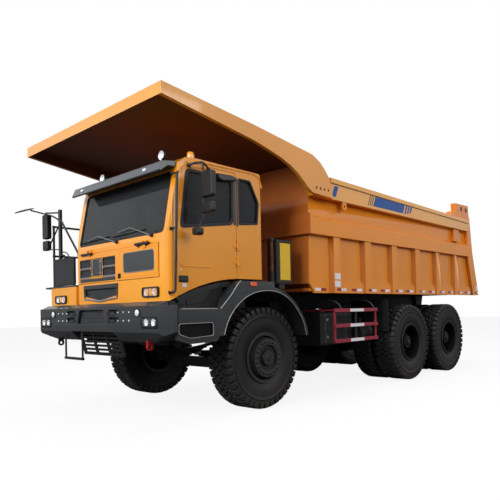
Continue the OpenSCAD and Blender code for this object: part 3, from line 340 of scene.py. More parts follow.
# Edge radius of each softened node, in metres
edgeWidths = {
    "frame_rails": 0.006, "crossmembers": 0.005, "front_bumper": 0.01, "skid_plate": 0.003,
    "cab_shell": 0.01, "visor": 0.01, "fenders": 0.008, "walkway": 0.004, "air_cleaner": 0.012,
    "tanks": 0.006, "side_guards": 0.004, "front_axle": 0.008, "door_shell": 0.006, "front_flap": 0.005,
    "dump_body": 0.008, "canopy": 0.006, "bed_subframe": 0.004, "engine": 0.02, "dashboard": 0.012,
    "knuckle_left": 0.006, "knuckle_right": 0.006, "hoist_barrels": 0.006,
}
holed = ["front_bumper", "cab_shell", "door_shell", "skid_plate", "front_flap", "canopy", "dump_body",
    "fenders"]
shapes = {name: softened(name, width, name not in holed) for name, width in edgeWidths.items()}
print("softened nodes:", len(shapes))


# A second finish on those faces of a softened node that the test picks by their middle and their direction
def paintWhere(node, material, test):
    mesh = shapes[node].data
    if material.name not in [held.name for held in mesh.materials]:
        mesh.materials.append(material)
    index = [held.name for held in mesh.materials].index(material.name)
    for face in mesh.polygons:
        x, y, z = face.center
        if test(x, y - frontY, z, face.normal):
            face.material_index = index


def everywhere(x, y, z, normal):
    return True


# Geometry Nodes trees for what repeats
def geometryTree(name, *inputs):
    return newTree(name, "GeometryNodeTree", [("Geometry", "Geometry"), *inputs, ("Material", "Material")],
        [("Geometry", "Geometry")])


# Every tree ends by making its copies real and giving them their material
def closeTree(tree, into, out, copies):
    real = addNode(tree, "GeometryNodeRealizeInstances", {"Geometry": copies})[0]
    coated = addNode(tree, "GeometryNodeSetMaterial", {"Geometry": real, "Material": into["Material"]})[0]
    tree.links.new(coated, out["Geometry"])
    return tree


def copied(tree, points, shape, turn=None):
    given = {"Points": points, "Instance": shape}
    if turn:
        given["Rotation"] = turn
    return addNode(tree, "GeometryNodeInstanceOnPoints", given)[0]


# Copies of a shape turned about the X axis
def makeRingTree():
    tree, into, out = geometryTree("ringOfPieces", ("Count", "Int", 12), ("Start", "Float", 0.0))
    points = addNode(tree, "GeometryNodePoints", {"Count": into["Count"]})[0]
    step = reckon(tree, "DIVIDE", math.tau, into["Count"])
    index = addNode(tree, "GeometryNodeInputIndex")[0]
    angle = reckon(tree, "MULTIPLY_ADD", index, step, into["Start"])
    euler = addNode(tree, "ShaderNodeCombineXYZ", {"X": angle})[0]
    turn = addNode(tree, "FunctionNodeEulerToRotation", {0: euler})[0]
    return closeTree(tree, into, out, copied(tree, points, into["Geometry"], turn))


# Copies of a shape in rows and columns, each a fixed step from the last
def makeRowTree():
    tree, into, out = geometryTree("rowsOfPieces", ("Columns", "Int", 4), ("Rows", "Int", 1),
        ("Column Step", "Vector", (0.1, 0, 0)), ("Row Step", "Vector", (0, 0, 0.1)))
    rows, columns = [
        addNode(tree, "GeometryNodeMeshLine", {"Count": into[count], "Offset": into[step]}, mode="OFFSET")[0]
        for count, step in (("Rows", "Row Step"), ("Columns", "Column Step"))]
    return closeTree(tree, into, out, copied(tree, rows, copied(tree, columns, into["Geometry"])))


ringTree = makeRingTree()
rowTree = makeRowTree()


# Runs a tree on the seed shape and keeps the result as plain mesh
def repeated(seed, tree, material, **values):
    modifier = modified(seed, "NODES", node_group=tree)
    given = {key.lower(): value for key, value in values.items()}
    given["material"] = material
    for item in tree.interface.items_tree:
        key = item.name.replace(" ", "").lower()
        if item.in_out == "INPUT" and key in given:
            modifier[item.identifier] = given[key]
    return applied(seed)


# A place of the trim, which is given behind the front axle, in the frame
def framed(place):
    x, y, z = place
    return Vector((x, frontY + y, z))


# A point of an outline at a depth: [y, z] along x, [x, z] along y or [x, y] along z
def spotAt(point, depth, axis):
    a, b = point
    x, y, z = {"x": (depth, a, b), "y": (a, depth, b), "z": (a, b, depth)}[axis]
    return framed((x, y, z))


# Shapes drawn into a bmesh, first an outline pushed from low to high
def addPrism(bm, outline, low, high, axis="x"):
    ends = [[bm.verts.new(spotAt(p, d, axis)) for p in outline] for d in (low, high)]
    faces = [bm.faces.new(ends[0]), bm.faces.new(reversed(ends[1]))]
    count = len(outline)
    for i in range(count):
        j = (i + 1) % count
        faces.append(bm.faces.new((ends[0][j], ends[0][i], ends[1][i], ends[1][j])))
    bmesh.ops.recalc_face_normals(bm, faces=faces)


def addBox(bm, x0, x1, y0, y1, z0, z1):
    addPrism(bm, [(x0, y0), (x1, y0), (x1, y1), (x0, y1)], z0, z1, "z")


# A profile of (radius, x) turned about the X axis
def addLathe(bm, profile, segments):
    rings = []
    for i in range(segments):
        angle = math.tau * i / segments
        rings.append([bm.verts.new((x, r * math.cos(angle), r * math.sin(angle))) for r, x in profile])
    faces = []
    for i, one in enumerate(rings):
        two = rings[(i + 1) % segments]
        for j in range(len(profile) - 1):
            faces.append(bm.faces.new((one[j], one[j + 1], two[j + 1], two[j])))
    bmesh.ops.remove_doubles(bm, verts=bm.verts, dist=0.00001)
    bmesh.ops.recalc_face_normals(bm, faces=[f for f in faces if f.is_valid])


# A round bar from a to b
def addRod(bm, a, b, radius, sides=16, endRadius=None):
    a, b = Vector(a), Vector(b)
    turn = (b - a).to_track_quat("Z", "Y").to_matrix().to_4x4()
    bmesh.ops.create_cone(bm, cap_ends=True, segments=sides, radius1=radius,
        radius2=radius if endRadius is None else endRadius, depth=(b - a).length,
        matrix=Matrix.Translation((a + b) / 2) @ turn)


# A ring of the same number of points outside and inside, pushed from low to high
def addFrame(bm, outline, inner, low, high, axis="y"):
    loops = [[bm.verts.new(spotAt(p, d, axis)) for p in line] for line, d in
        ((outline, low), (outline, high), (inner, high), (inner, low))]
    count = len(outline)
    faces = []
    for k in range(4):
        one, two = loops[k], loops[(k + 1) % 4]
        for i in range(count):
            j = (i + 1) % count
            faces.append(bm.faces.new((one[i], one[j], two[j], two[i])))
    bmesh.ops.recalc_face_normals(bm, faces=faces)


def roundRect(x0, x1, z0, z1, radius, steps=5):
    points = []
    corners = [(x1 - radius, z0 + radius, -90), (x1 - radius, z1 - radius, 0),
        (x0 + radius, z1 - radius, 90), (x0 + radius, z0 + radius, 180)]
    for cx, cz, start in corners:
        for i in range(steps + 1):
            angle = math.radians(start + 90 * i / steps)
            points.append((cx + radius * math.cos(angle), cz + radius * math.sin(angle)))
    return points


# A soft bend of a path at its corner, between the points before and after it
def bent(before, here, after, cut, steps):
    cut = min(cut, (before - here).length * 0.45, (after - here).length * 0.45)
    start, end = here + (before - here).normalized() * cut, here + (after - here).normalized() * cut
    for k in range(steps + 1):
        t = k / steps
        yield start * (1 - t) ** 2 + here * 2 * t * (1 - t) + end * t * t


# An outline with its corners rounded
def rounded(points, radius):
    places = [Vector(point) for point in points]
    smooth = []
    for i, here in enumerate(places):
        after = places[(i + 1) % len(places)]
        smooth += [tuple(spot) for spot in bent(places[i - 1], here, after, radius, 5)]
    return smooth


# A closed outline grown outwards by a distance, or drawn in by a negative one
def offsetLine(points, distance):
    count = len(points)
    area = sum(points[i - 1][0] * points[i][1] - points[i][0] * points[i - 1][1] for i in range(count))
    sign = 1 if area > 0 else -1
    moved = []
    for i in range(count):
        here = Vector(points[i])
        before = (here - Vector(points[i - 1])).normalized()
        after = (Vector(points[(i + 1) % count]) - here).normalized()
        one = Vector((before.y, -before.x)) * sign
        two = Vector((after.y, -after.x)) * sign
        middle = (one + two).normalized()
        moved.append(tuple(here + middle * distance / max(0.35, middle.dot(one))))
    return moved


# A round tube along straight runs joined by soft bends
def pipe(name, points, radius, material, bend=0.03):
    curve = bpy.data.curves.new(name, "CURVE")
    curve.dimensions = "3D"
    curve.bevel_depth = radius
    curve.bevel_resolution = 3
    curve.use_fill_caps = True
    places = [framed(point) for point in points]
    path = [places[0]]
    for before, here, after in zip(places, places[1:], places[2:]):
        path += bent(before, here, after, bend, 4)
    path.append(places[-1])
    spline = curve.splines.new("POLY")
    spline.points.add(len(path) - 1)
    for spot, place in zip(spline.points, path):
        spot.co = (*place, 1)
    obj = newObject(name, curve)
    mesh = evaluated(obj)
    bpy.data.objects.remove(obj)
    mesh.materials.clear()
    mesh.materials.append(material)
    mesh.shade_smooth()
    return newObject(name, mesh)


# One object from several, which keeps each one's materials
def joined(name, objects):
    target = bpy.data.meshes.new(name)
    bm = bmesh.new()
    finishes = []
    for obj in objects:
        slots = {}
        for i, material in enumerate(obj.data.materials):
            if material not in finishes:
                finishes.append(material)
            slots[i] = finishes.index(material)
        first = len(bm.faces)
        bm.from_mesh(obj.data)
        bm.faces.ensure_lookup_table()
        for face in bm.faces[first:]:
            face.material_index = slots.get(face.material_index, 0)
        bpy.data.objects.remove(obj)
    bm.to_mesh(target)
    bm.free()
    for material in finishes:
        target.materials.append(material)
    return newObject(name, target)


def attach(obj, body, slotName, *replaced):
    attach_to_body(obj, body)
    if replaced:
        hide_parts(*replaced)
    return obj


def dress(name, parts, body, slotName, *replaced):
    attach(joined(name, parts), body, slotName, *replaced)


# One object each, drawn and with its edges rounded by the width
def solid(bm, name, material, width=0.0, segments=2):
    obj = meshFrom(bm, name, material)
    return roundEdges(obj, width, segments) if width else obj


def drawn(add, name, material, width, segments, calls):
    bm = bmesh.new()
    for call in calls:
        add(bm, *call)
    return solid(bm, name, material, width, segments)


def boxes(name, material, width, *corners, segments=2):
    return drawn(addBox, name, material, width, segments, corners)


def rods(name, material, width, *bars, segments=2):
    calls = [(framed(a), framed(b), *rest) for a, b, *rest in bars]
    return drawn(addRod, name, material, width, segments, calls)


def prism(name, material, outline, low, high, axis="x", width=0.0, segments=2):
    return drawn(addPrism, name, material, width, segments, [(outline, low, high, axis)])


def frameOf(name, material, outline, inner, low, high, axis="y", width=0.0, segments=2):
    return drawn(addFrame, name, material, width, segments, [(outline, inner, low, high, axis)])


def border(name, material, outline, grow, shrink, low, high, width=0.0, segments=2):
    return frameOf(name, material, offsetLine(outline, grow), offsetLine(outline, -shrink), low, high, "y",
        width, segments)


def ring(name, material, outline, grow, shrink, low, high, axis, corner=0.06, width=0.002):
    return frameOf(name, material, rounded(offsetLine(outline, grow), max(0.012, corner)),
        rounded(offsetLine(outline, -shrink), corner), low, high, axis, width, 1)


# A turned profile that looks forwards, or upwards with the axis Y, and may lean back
def turned(name, material, profile, segments, place, axis="Z", width=0.0, lean=0):
    obj = drawn(addLathe, name, material, width, 2, [(profile, segments)])
    if not width:
        obj.data.shade_smooth()
    lean = Matrix.Rotation(math.radians(lean), 4, "X")
    obj.data.transform(Matrix.Translation(framed(place)) @ lean @ Matrix.Rotation(-math.pi / 2, 4, axis))
    return obj


# Two places on one side of the truck, the lower one first
def span(side, a, b):
    return sorted((a * side, b * side))


def mirrored(points, side):
    return [(x * side, y, z) for x, y, z in points]


# A line at one X through places of [y, z]
def lineAt(x, points):
    return [(x, y, z) for y, z in points]


# A wire lattice in the XZ plane, rows and columns of thin bars
def lattice(name, material, x0, x1, z0, z1, y, step, wire):
    half = wire / 2
    upright = boxes("upright", material, 0, (x0 - half, x0 + half, y, y + wire, z0, z1))
    crossing = boxes("crossing", material, 0,
        (x0, x1, y + wire * 0.4, y + wire * 1.4, z0 - half, z0 + half))
    columns, rows = int((x1 - x0) / step) + 1, int((z1 - z0) / step) + 1
    return joined(name, [
        repeated(upright, rowTree, material, columns=columns, rows=1, columnStep=(step, 0, 0)),
        repeated(crossing, rowTree, material, columns=1, rows=rows, rowStep=(0, 0, step))])


# Tyres, drawn about the X axis and then set in place
tyre = {
    "radius": 0.7465,
    "halfWidth": 0.215,
    "beadRadius": 0.3512,
    "flangeRadius": 0.3692,
    "seatX": 0.1845,
    "lugs": 40,
    "segments": 120,
}


def tyreProfile():
    r = tyre["radius"]
    half = [
        (tyre["beadRadius"], tyre["seatX"] - 0.004), (tyre["flangeRadius"], tyre["seatX"]),
        (0.388, 0.186), (0.394, 0.19), (0.404, 0.19), (0.41, 0.193), (0.45, 0.204), (0.5, 0.2105),
        (0.56, 0.2115), (0.604, 0.2085), (0.607, 0.211), (0.613, 0.211), (0.616, 0.207), (0.645, 0.202),
        (0.648, 0.2045), (0.655, 0.2045), (0.66, 0.199), (0.69, 0.188), (r - 0.036, 0.17), (r - 0.029, 0.12),
    ]
    return half + [(r - 0.027, 0.0)] + [(x, -h) for x, h in reversed(half)] + [half[0]]


# A rubber block through cross-sections of (x, base radius, top radius, angle, half angle)
def addLug(bm, sections, sign):
    rings = []
    for x, base, top, centre, half in sections:
        spots = []
        for radius, spread, edge in ((base, 1.1, -1), (base, 1.1, 1), (top, 1.0, -1), (top, 1.0, 1)):
            angle = math.radians(centre + edge * half * spread) * sign
            spots.append(bm.verts.new((x * sign, radius * math.sin(angle), radius * math.cos(angle))))
        rings.append([spots[0], spots[2], spots[3], spots[1]])
    faces = [bm.faces.new(rings[0]), bm.faces.new(reversed(rings[-1]))]
    for one, two in zip(rings, rings[1:]):
        for i in range(4):
            j = (i + 1) % 4
            faces.append(bm.faces.new((one[j], one[i], two[i], two[j])))
    bmesh.ops.recalc_face_normals(bm, faces=faces)


def makeTyre():
    side, r = tyre["halfWidth"], tyre["radius"]
    carcass = drawn(addLathe, "carcass", tyreRubber, 0, 2, [(tyreProfile(), tyre["segments"])])
    carcass.data.shade_smooth()
    parts = [carcass]
    shoulder = [(side - 0.001, 0.632, 0.65, 0.0, 2.4), (side - 0.0005, 0.65, 0.698, 0.0, 2.9),
        (side - 0.009, 0.662, r - 0.016, 0.0, 3.15), (side - 0.038, 0.69, r - 0.001, 0.0, 3.2),
        (0.13, 0.7, r, 0.4, 3.2), (0.084, 0.7, r, 2.0, 3.1)]
    centre = [(0.077, 0.7, r, 6.4, 3.1), (0.05, 0.7, r, 5.2, 3.2), (0.006, 0.7, r, 4.6, 3.1)]
    for sign, start in ((1, 0), (-1, 4.5)):
        seed = drawn(addLug, "lugs", tyreRubber, 0, 2, [(shoulder, sign), (centre, sign)])
        parts.append(repeated(roundEdges(seed, 0.004, 1, 25), ringTree, tyreRubber, count=tyre["lugs"],
            start=math.radians(start)))
    return joined("tyre", parts)


# A copy of a wheel piece drawn about X, turned, facing outwards and set on its hub
def placed(source, name, x, y, side, turn):
    mesh = source.data.copy()
    mesh.transform(Matrix.Rotation(turn, 4, "X"))
    if side < 0:
        mesh.transform(Matrix.Rotation(math.pi, 4, "Z"))
    mesh.transform(Matrix.Translation((x * side, y, axleZ)))
    return newObject(name, mesh)


wheelX = {"front": 1.315, "outer": 1.545, "inner": 1.045, "twin": 1.295}


def makeWheels():
    one = makeTyre()
    frontTrim, twinTrim = makeHub("front"), makeHub("twin")
    for sideName, side in (("left", 1), ("right", -1)):
        rubber = placed(one, "rubber_front_" + sideName, wheelX["front"], frontY, side, 0.03)
        attach(rubber, "front_wheel_" + sideName, "tyre", "front_tyre_" + sideName)
        trim = placed(frontTrim, "hub_trim_front_" + sideName, wheelX["front"], frontY, side, 0.1)
        attach(trim, "front_wheel_" + sideName, "rim_grey")
        for axle, y in (("mid", midY), ("rear", rearY)):
            pair = [placed(one, "outer", wheelX["outer"], y, side, 0.05 if axle == "mid" else 0.0),
                placed(one, "inner", wheelX["inner"], y, side, 0.02)]
            rubber = joined("rubber_" + axle + "_" + sideName, pair)
            attach(rubber, axle + "_wheels_" + sideName, "tyre", axle + "_tyres_" + sideName)
            trim = placed(twinTrim, "hub_trim_" + axle + "_" + sideName, wheelX["twin"], y, side, 0.2)
            attach(trim, axle + "_wheels_" + sideName, "rim_grey")
    for spare in (one, frontTrim, twinTrim):
        bpy.data.objects.remove(spare)


# Rings of nuts on a hub as [count, circle radius, x, head radius, height], washers as [inner, outer, x]
hub = {
    "front": {"rings": [(20, 0.235, 0.262, 0.0175, 0.024), (12, 0.152, 0.23, 0.011, 0.012),
        (10, 0.078, 0.276, 0.0075, 0.007)], "capX": 0.276, "rimX": 0.203,
        "dark": (0.104, 0.203, 0.2285), "pale": (0.207, 0.262, 0.2615)},
    "twin": {"rings": [(20, 0.21, 0.045, 0.015, 0.02), (16, 0.168, 0.309, 0.009, 0.008),
        (12, 0.098, 0.3835, 0.008, 0.007)], "capX": 0.4, "rimX": 0.453,
        "dark": (0.185, 0.25, 0.044), "pale": (0.09, 0.108, 0.383)},
    "capRadius": 0.046,
    "rimRadius": 0.3675,
}


def nutSeed(radius, height, circle, x):
    bars = [(x - 0.003, x + 0.004, radius * 1.35, 16), (x, x + height, radius, 6),
        (x + height * 0.8, x + height * 1.45, radius * 0.5, 10)]
    return drawn(addRod, "nut", hubSteel, 0.0012, 1,
        [((a, 0, circle), (b, 0, circle), r, sides) for a, b, r, sides in bars])


def makeHub(kind):
    size = hub[kind]
    parts = []
    for count, circle, x, head, height in size["rings"]:
        parts.append(repeated(nutSeed(head, height, circle, x), ringTree, hubSteel, count=count, start=0.1))
    x, r = size["capX"], hub["capRadius"]
    cap = [(0.0, x + 0.011), (r - 0.01, x + 0.011), (r - 0.004, x + 0.006), (r, x - 0.004), (0, x - 0.004)]
    parts.append(roundEdges(drawn(addLathe, "cap", rimPaint, 0, 2, [(cap, 32)]), 0.001, 1))
    # The dark washer is a ring of painted shade in the hub's recess
    for name, shade in (("dark", rubberSeal), ("pale", hubSteel)):
        inner, outer, x = size[name]
        low, high = x - 0.0005, x + 0.0015
        washer = [(inner, low), (outer, low), (outer, high), (inner, high), (inner, low)]
        parts.append(drawn(addLathe, name, shade, 0, 2, [(washer, 64)]))
    x, r = size["rimX"], hub["rimRadius"]
    lip = drawn(addLathe, "lip", hubSteel, 0, 2, [([(r, x - 0.002), (r + 0.0005, x + 0.003),
        (r - 0.004, x + 0.005), (r - 0.01, x + 0.004), (r - 0.01, x - 0.002), (r, x - 0.002)], 96)])
    lip.data.shade_smooth()
    return joined("hub", parts + [lip])


makeWheels()
print("tyres and hubs")


# The front of the cab leans back above the flap
def faceLean(z):
    if z <= 2.38:
        return 0.0
    if z <= 3.18:
        return 0.15 * (z - 2.38) / 0.8
    return 0.15 + 0.04 * (z - 3.18) / 0.13


def leaned(obj):
    for vertex in obj.data.vertices:
        vertex.co.y += faceLean(vertex.co.z)
    return obj


# A reflector bowl with its bulb, facing forwards
def lampBowl(x, y, z, radius, deep):
    bowl = [(1, 0), (0.93, 0.2), (0.7, 0.62), (0.36, 0.93), (0, 1)]
    bulb = [(0.18, 1), (0.18, 0.45), (0.12, 0.3), (0, 0.25)]
    return [turned(name, material, [(radius * r, -deep * d) for r, d in profile], 32, (x, y, z))
        for name, profile, material in (("bowl", bowl, lampWhite), ("bulb", bulb, whitePaint))]


def lampUnit(name, x0, x1, z0, z1, face, bulbs, radius, rim=0.012, corner=0.02, pan=lampMirror):
    outline = roundRect(x0, x1, z0, z1, corner)
    parts = [border("bezel", blackPlastic, outline, rim, 0.004, face - 0.01, face + 0.034, 0.002, 1),
        prism("pan", pan, outline, face + 0.03, face + 0.036, "y"),
        prism("lens", lampGlass, offsetLine(outline, 0.001), face - 0.006, face - 0.002, "y", 0.0015, 1)]
    for x in bulbs:
        parts += lampBowl(x, face + 0.004, (z0 + z1) / 2, radius, 0.028)
    return joined(name, parts)


# Cab front: flap with its grille and panel, lower grille, headlamps, windscreen and wipers
cabFront = {
    "flapFace": cabFace - 0.012,
    "cells": [(-0.545, -0.25, 2.104, 2.212), (-0.545, -0.25, 1.966, 2.072),
        (0.09, 0.41, 2.104, 2.212), (0.09, 0.41, 1.966, 2.072)],
    "blank": (-0.226, 0.066, 1.978, 2.214),
    "panel": (0.616, 1.324, 1.974, 2.234),
    "handles": [(-0.477, -0.166, 2.3), (0.932, 1.24, 2.322)],
    "latch": (0.52, 1.943),
    "lowerMesh": (-0.43, 0.43, 1.69, 1.795),
    "headlamps": [(1.072, 1.4, 1.648, 1.752), (-1.338, -1.01, 1.622, 1.722)],
    "windscreen": (-0.6, 1.5, 2.43, 3.2),
}


def flapTrim():
    face = cabFront["flapFace"]
    # The dark back sheet behind the grille is painted shade seen through the mesh
    parts = [lattice("grille", meshBlack, -0.555, 0.415, 1.9, 2.225, face + 0.016, 0.019, 0.0045),
        boxes("back", rubberSeal, 0, (-0.558, 0.418, face + 0.021, face + 0.026, 1.897, 2.226))]
    for x0, x1, z0, z1 in cabFront["cells"]:
        cell = roundRect(x0, x1, z0, z1, 0.01, 2)
        parts.append(border("cell", slateTrim, cell, 0.012, 0, face + 0.001, face + 0.02, 0.002, 1))
        edge = [(x0 - 0.01, z0 - 0.016), (x1 + 0.01, z0 - 0.012), (x1 + 0.008, z0 + 0.006),
            (x0 - 0.008, z0 + 0.002)]
        parts.append(prism("brightEdge", dullSteel, edge, face - 0.003, face + 0.012, "y", 0.003))
    # Blank centre place with a bright frame, and a strip below the cells
    blank = roundRect(*cabFront["blank"], 0.02, 3)
    inner = offsetLine(blank, -0.04)
    parts += [prism("blank", slateTrim, blank, face - 0.001, face + 0.014, "y", 0.003),
        border("blankFrame", dullSteel, inner, 0, 0.01, face - 0.006, face, 0.002, 1),
        boxes("strip", slateTrim, 0.004, (-0.555, 0.415, face + 0.001, face + 0.02, 1.898, 1.946))]
    # Panel with its bright edge, and a raised border round it
    x0, x1, z0, z1 = cabFront["panel"]
    panel = roundRect(x0, x1, z0, z1, 0.045)
    around = roundRect(x0 - 0.085, x1 + 0.052, z0 - 0.052, z1 + 0.04, 0.045)
    parts += [prism("panel", greyPanel, panel, face + 0.004, face + 0.014, "y", 0.002, 1),
        border("panelEdge", dullSteel, panel, 0.004, 0.006, face, face + 0.008, 0.0015, 1),
        border("border", cabPaint, around, 0.005, 0.005, face - 0.003, face + 0.004, 0.0025)]
    for x0, x1, z in cabFront["handles"]:
        handle = roundRect(x0, x1, z - 0.015, z + 0.015, 0.012, 3)
        parts.append(prism("handle", blackPlastic, handle, face - 0.034, face - 0.006, "y", 0.008))
        parts.append(boxes("handleFoot", blackPlastic, 0.003, *[
            (x - 0.012, x + 0.012, face - 0.018, face + 0.001, 2.284, z) for x in (x0 + 0.06, x1 - 0.07)],
            segments=1))
    paintWhere("front_flap", blackPlastic, lambda x, y, z, normal: z > 2.309)
    x, z = cabFront["latch"]
    plate = roundRect(x - 0.036, x + 0.036, z - 0.034, z + 0.034, 0.008, 2)
    bars = [[(x - 0.02, z - 0.022 * turn), (x - 0.012, z - 0.026 * turn), (x + 0.02, z + 0.022 * turn),
        (x + 0.012, z + 0.026 * turn)] for turn in (-1, 1)]
    parts.append(drawn(addPrism, "latch", blackPlastic, 0.002, 1, [(plate, face - 0.006, face + 0.001, "y"),
        *[(bar, face - 0.014, face - 0.004, "y") for bar in bars]]))
    dress("flap_trim", parts, bodyOf["front_flap"], "black_plastic")


def lowerGrille():
    x0, x1, z0, z1 = cabFront["lowerMesh"]
    # The dark back sheet behind the grille is painted shade seen through the mesh
    parts = [lattice("grille", meshBlack, x0 + 0.01, x1 - 0.01, z0 - 0.045, z1 + 0.02, cabFace + 0.022,
        0.017, 0.0045),
        boxes("back", rubberSeal, 0, (x0 + 0.005, x1 - 0.005, cabFace + 0.03, cabFace + 0.036, 1.64, 1.812)),
        prism("band", slateTrim, [(-0.466, 1.852), (0.466, 1.852), (0.462, 1.792), (-0.462, 1.792)],
            cabFace - 0.01, cabFace + 0.012, "y", 0.006)]
    # Bright trim along the foot, to a point in the middle, and dark ends
    for side in (-1, 1):
        foot = [(0, 1.604), (0.446 * side, 1.646), (0.446 * side, 1.668), (0, 1.628)]
        parts.append(prism("foot", dullSteel, foot, cabFace - 0.016, cabFace + 0.006, "y", 0.004))
        end = [(0.446 * side, 1.655), (0.464 * side, 1.8), (0.44 * side, 1.8), (0.424 * side, 1.66)]
        parts.append(prism("end", slateTrim, end, cabFace - 0.012, cabFace + 0.02, "y", 0.004))
    paintWhere("cab_shell", slateTrim,
        lambda x, y, z, normal: abs(x) < 0.5 and 1.575 < z < 1.868 and y < cabFace - 0.001)
    # Painted shade: the walls inside the grille's opening are near black
    paintWhere("cab_shell", rubberSeal, lambda x, y, z, normal: abs(x) < 0.452 and 1.6 < z < 1.855
        and cabFace + 0.001 < y < cabFace + 0.06)
    dress("lower_grille", parts, "chassis", "black_plastic")


# Seal, the black border printed on the glass, deeper at the foot, and the pale bead above it
def windscreenTrim():
    x0, x1, z0, z1 = cabFront["windscreen"]
    outline = roundRect(x0, x1, z0, z1, 0.06, 6)
    inner = roundRect(x0 + 0.022, x1 - 0.022, z0 + 0.05, z1 - 0.022, 0.05, 6)
    above = roundRect(x0 - 0.01, x1 + 0.01, z1 + 0.012, z1 + 0.034, 0.01, 3)
    parts = [border("seal", rubberSeal, outline, 0.006, 0.02, cabFace - 0.002, cabFace + 0.018, 0.004),
        frameOf("border", rubberSeal, offsetLine(outline, -0.004), inner, cabFace + 0.0095, cabFace + 0.0115),
        prism("bead", cabPaint, above, cabFace - 0.006, cabFace + 0.01, "y", 0.003)]
    dress("windscreen_trim", [leaned(part) for part in parts], "chassis", "black_rubber")


# Each wiper as [pivot, knee of the arm, outer end of the arm, blade from, blade to], all [x, z]
wipers = {
    "left": ((0.462, 2.404), (-0.064, 2.538), (-0.325, 2.504), (-0.56, 2.48), (0.215, 2.512)),
    "right": ((1.275, 2.41), (0.752, 2.567), (0.45, 2.538), (0.3, 2.492), (1.085, 2.512)),
}


def makeWipers():
    def spot(point, lift, dx=0.0, dz=0.0):
        x, z = point[0] + dx, point[1] + dz
        return (x, cabFace + faceLean(z) - lift, z)
    parts = []
    for pivot, knee, end, bladeFrom, bladeTo in wipers.values():
        parts += [rods("pivot", blackPlastic, 0.003,
            (spot(pivot, -0.004), spot(pivot, 0.036), 0.022, 20, 0.017),
            (spot(pivot, -0.004, 0.075, 0.04), spot(pivot, 0.016, 0.075, 0.04), 0.011, 12, 0.007)),
            pipe("arm", [spot(pivot, 0.026), spot(knee, 0.02), spot(end, 0.01)], 0.0062, dullSteel, 0.02),
            pipe("link", [spot(pivot, 0.012, -0.1, 0.012), spot(pivot, 0.016, 0, -0.018)], 0.005, dullSteel),
            rods("blade", blackPlastic, 0, (spot(bladeFrom, 0.0), spot(bladeTo, 0.0), 0.007, 8))]
    dress("wipers", parts, "chassis", "black_plastic")


# Bumper, with [x, z] of each lamp on the left side
bumper = {
    "face": -1.885,
    "roundLamp": (1.142, 1.44),
    "pairLamps": (1.325, 1.478),
    "bolts": {"firstX": 0.7, "stepX": 0.131, "lowZ": 1.344, "stepZ": 0.108},
    "grille": [(-0.33, 1.507), (0.33, 1.507), (0.41, 1.288), (-0.41, 1.288)],
    "slots": [(0.43, 0.622, 1.404, 1.461), (0.43, 0.622, 1.318, 1.36)],
}


def makeLamps():
    face = bumper["face"]
    parts = []
    for x0, x1, z0, z1 in cabFront["headlamps"]:
        third, middle = (x1 - x0) * 0.22, (x0 + x1) / 2
        parts.append(lampUnit("headlamp", x0, x1, z0, z1, cabFace - 0.018, (x0 + third, x1 - third), 0.047))
        # Amber block between the two bulbs, a painted reflection of orange there
        parts.append(boxes("amber", beaconLens, 0.004,
            (middle - 0.03, middle + 0.03, cabFace - 0.012, cabFace + 0.01, z0 + 0.008, z1 - 0.008)))
    lens = [(0.0, 0.01), (0.02, 0.009), (0.038, 0.005), (0.045, -0.001), (0.0, -0.001)]
    for side in (-1, 1):
        x, z = bumper["roundLamp"]
        x *= side
        parts.append(frameOf("surround", blackPlastic,
            roundRect(x - 0.078, x + 0.078, z - 0.052, z + 0.052, 0.048),
            roundRect(x - 0.046, x + 0.046, z - 0.046, z + 0.046, 0.0458), face - 0.006, face + 0.036, "y",
            0.002, 1))
        parts += lampBowl(x, face - 0.002, z, 0.046, 0.024)
        parts.append(turned("lens", lampWhite, lens, 32, (x, face - 0.005, z)))
        parts.append(lampUnit("pair", *span(side, 1.232, 1.56), 1.272, 1.37, face + 0.002,
            [place * side for place in bumper["pairLamps"]], 0.044, 0.014, 0.03, rubberSeal))
    dress("lamp_sets", parts, "chassis", "lamp", "lamps")


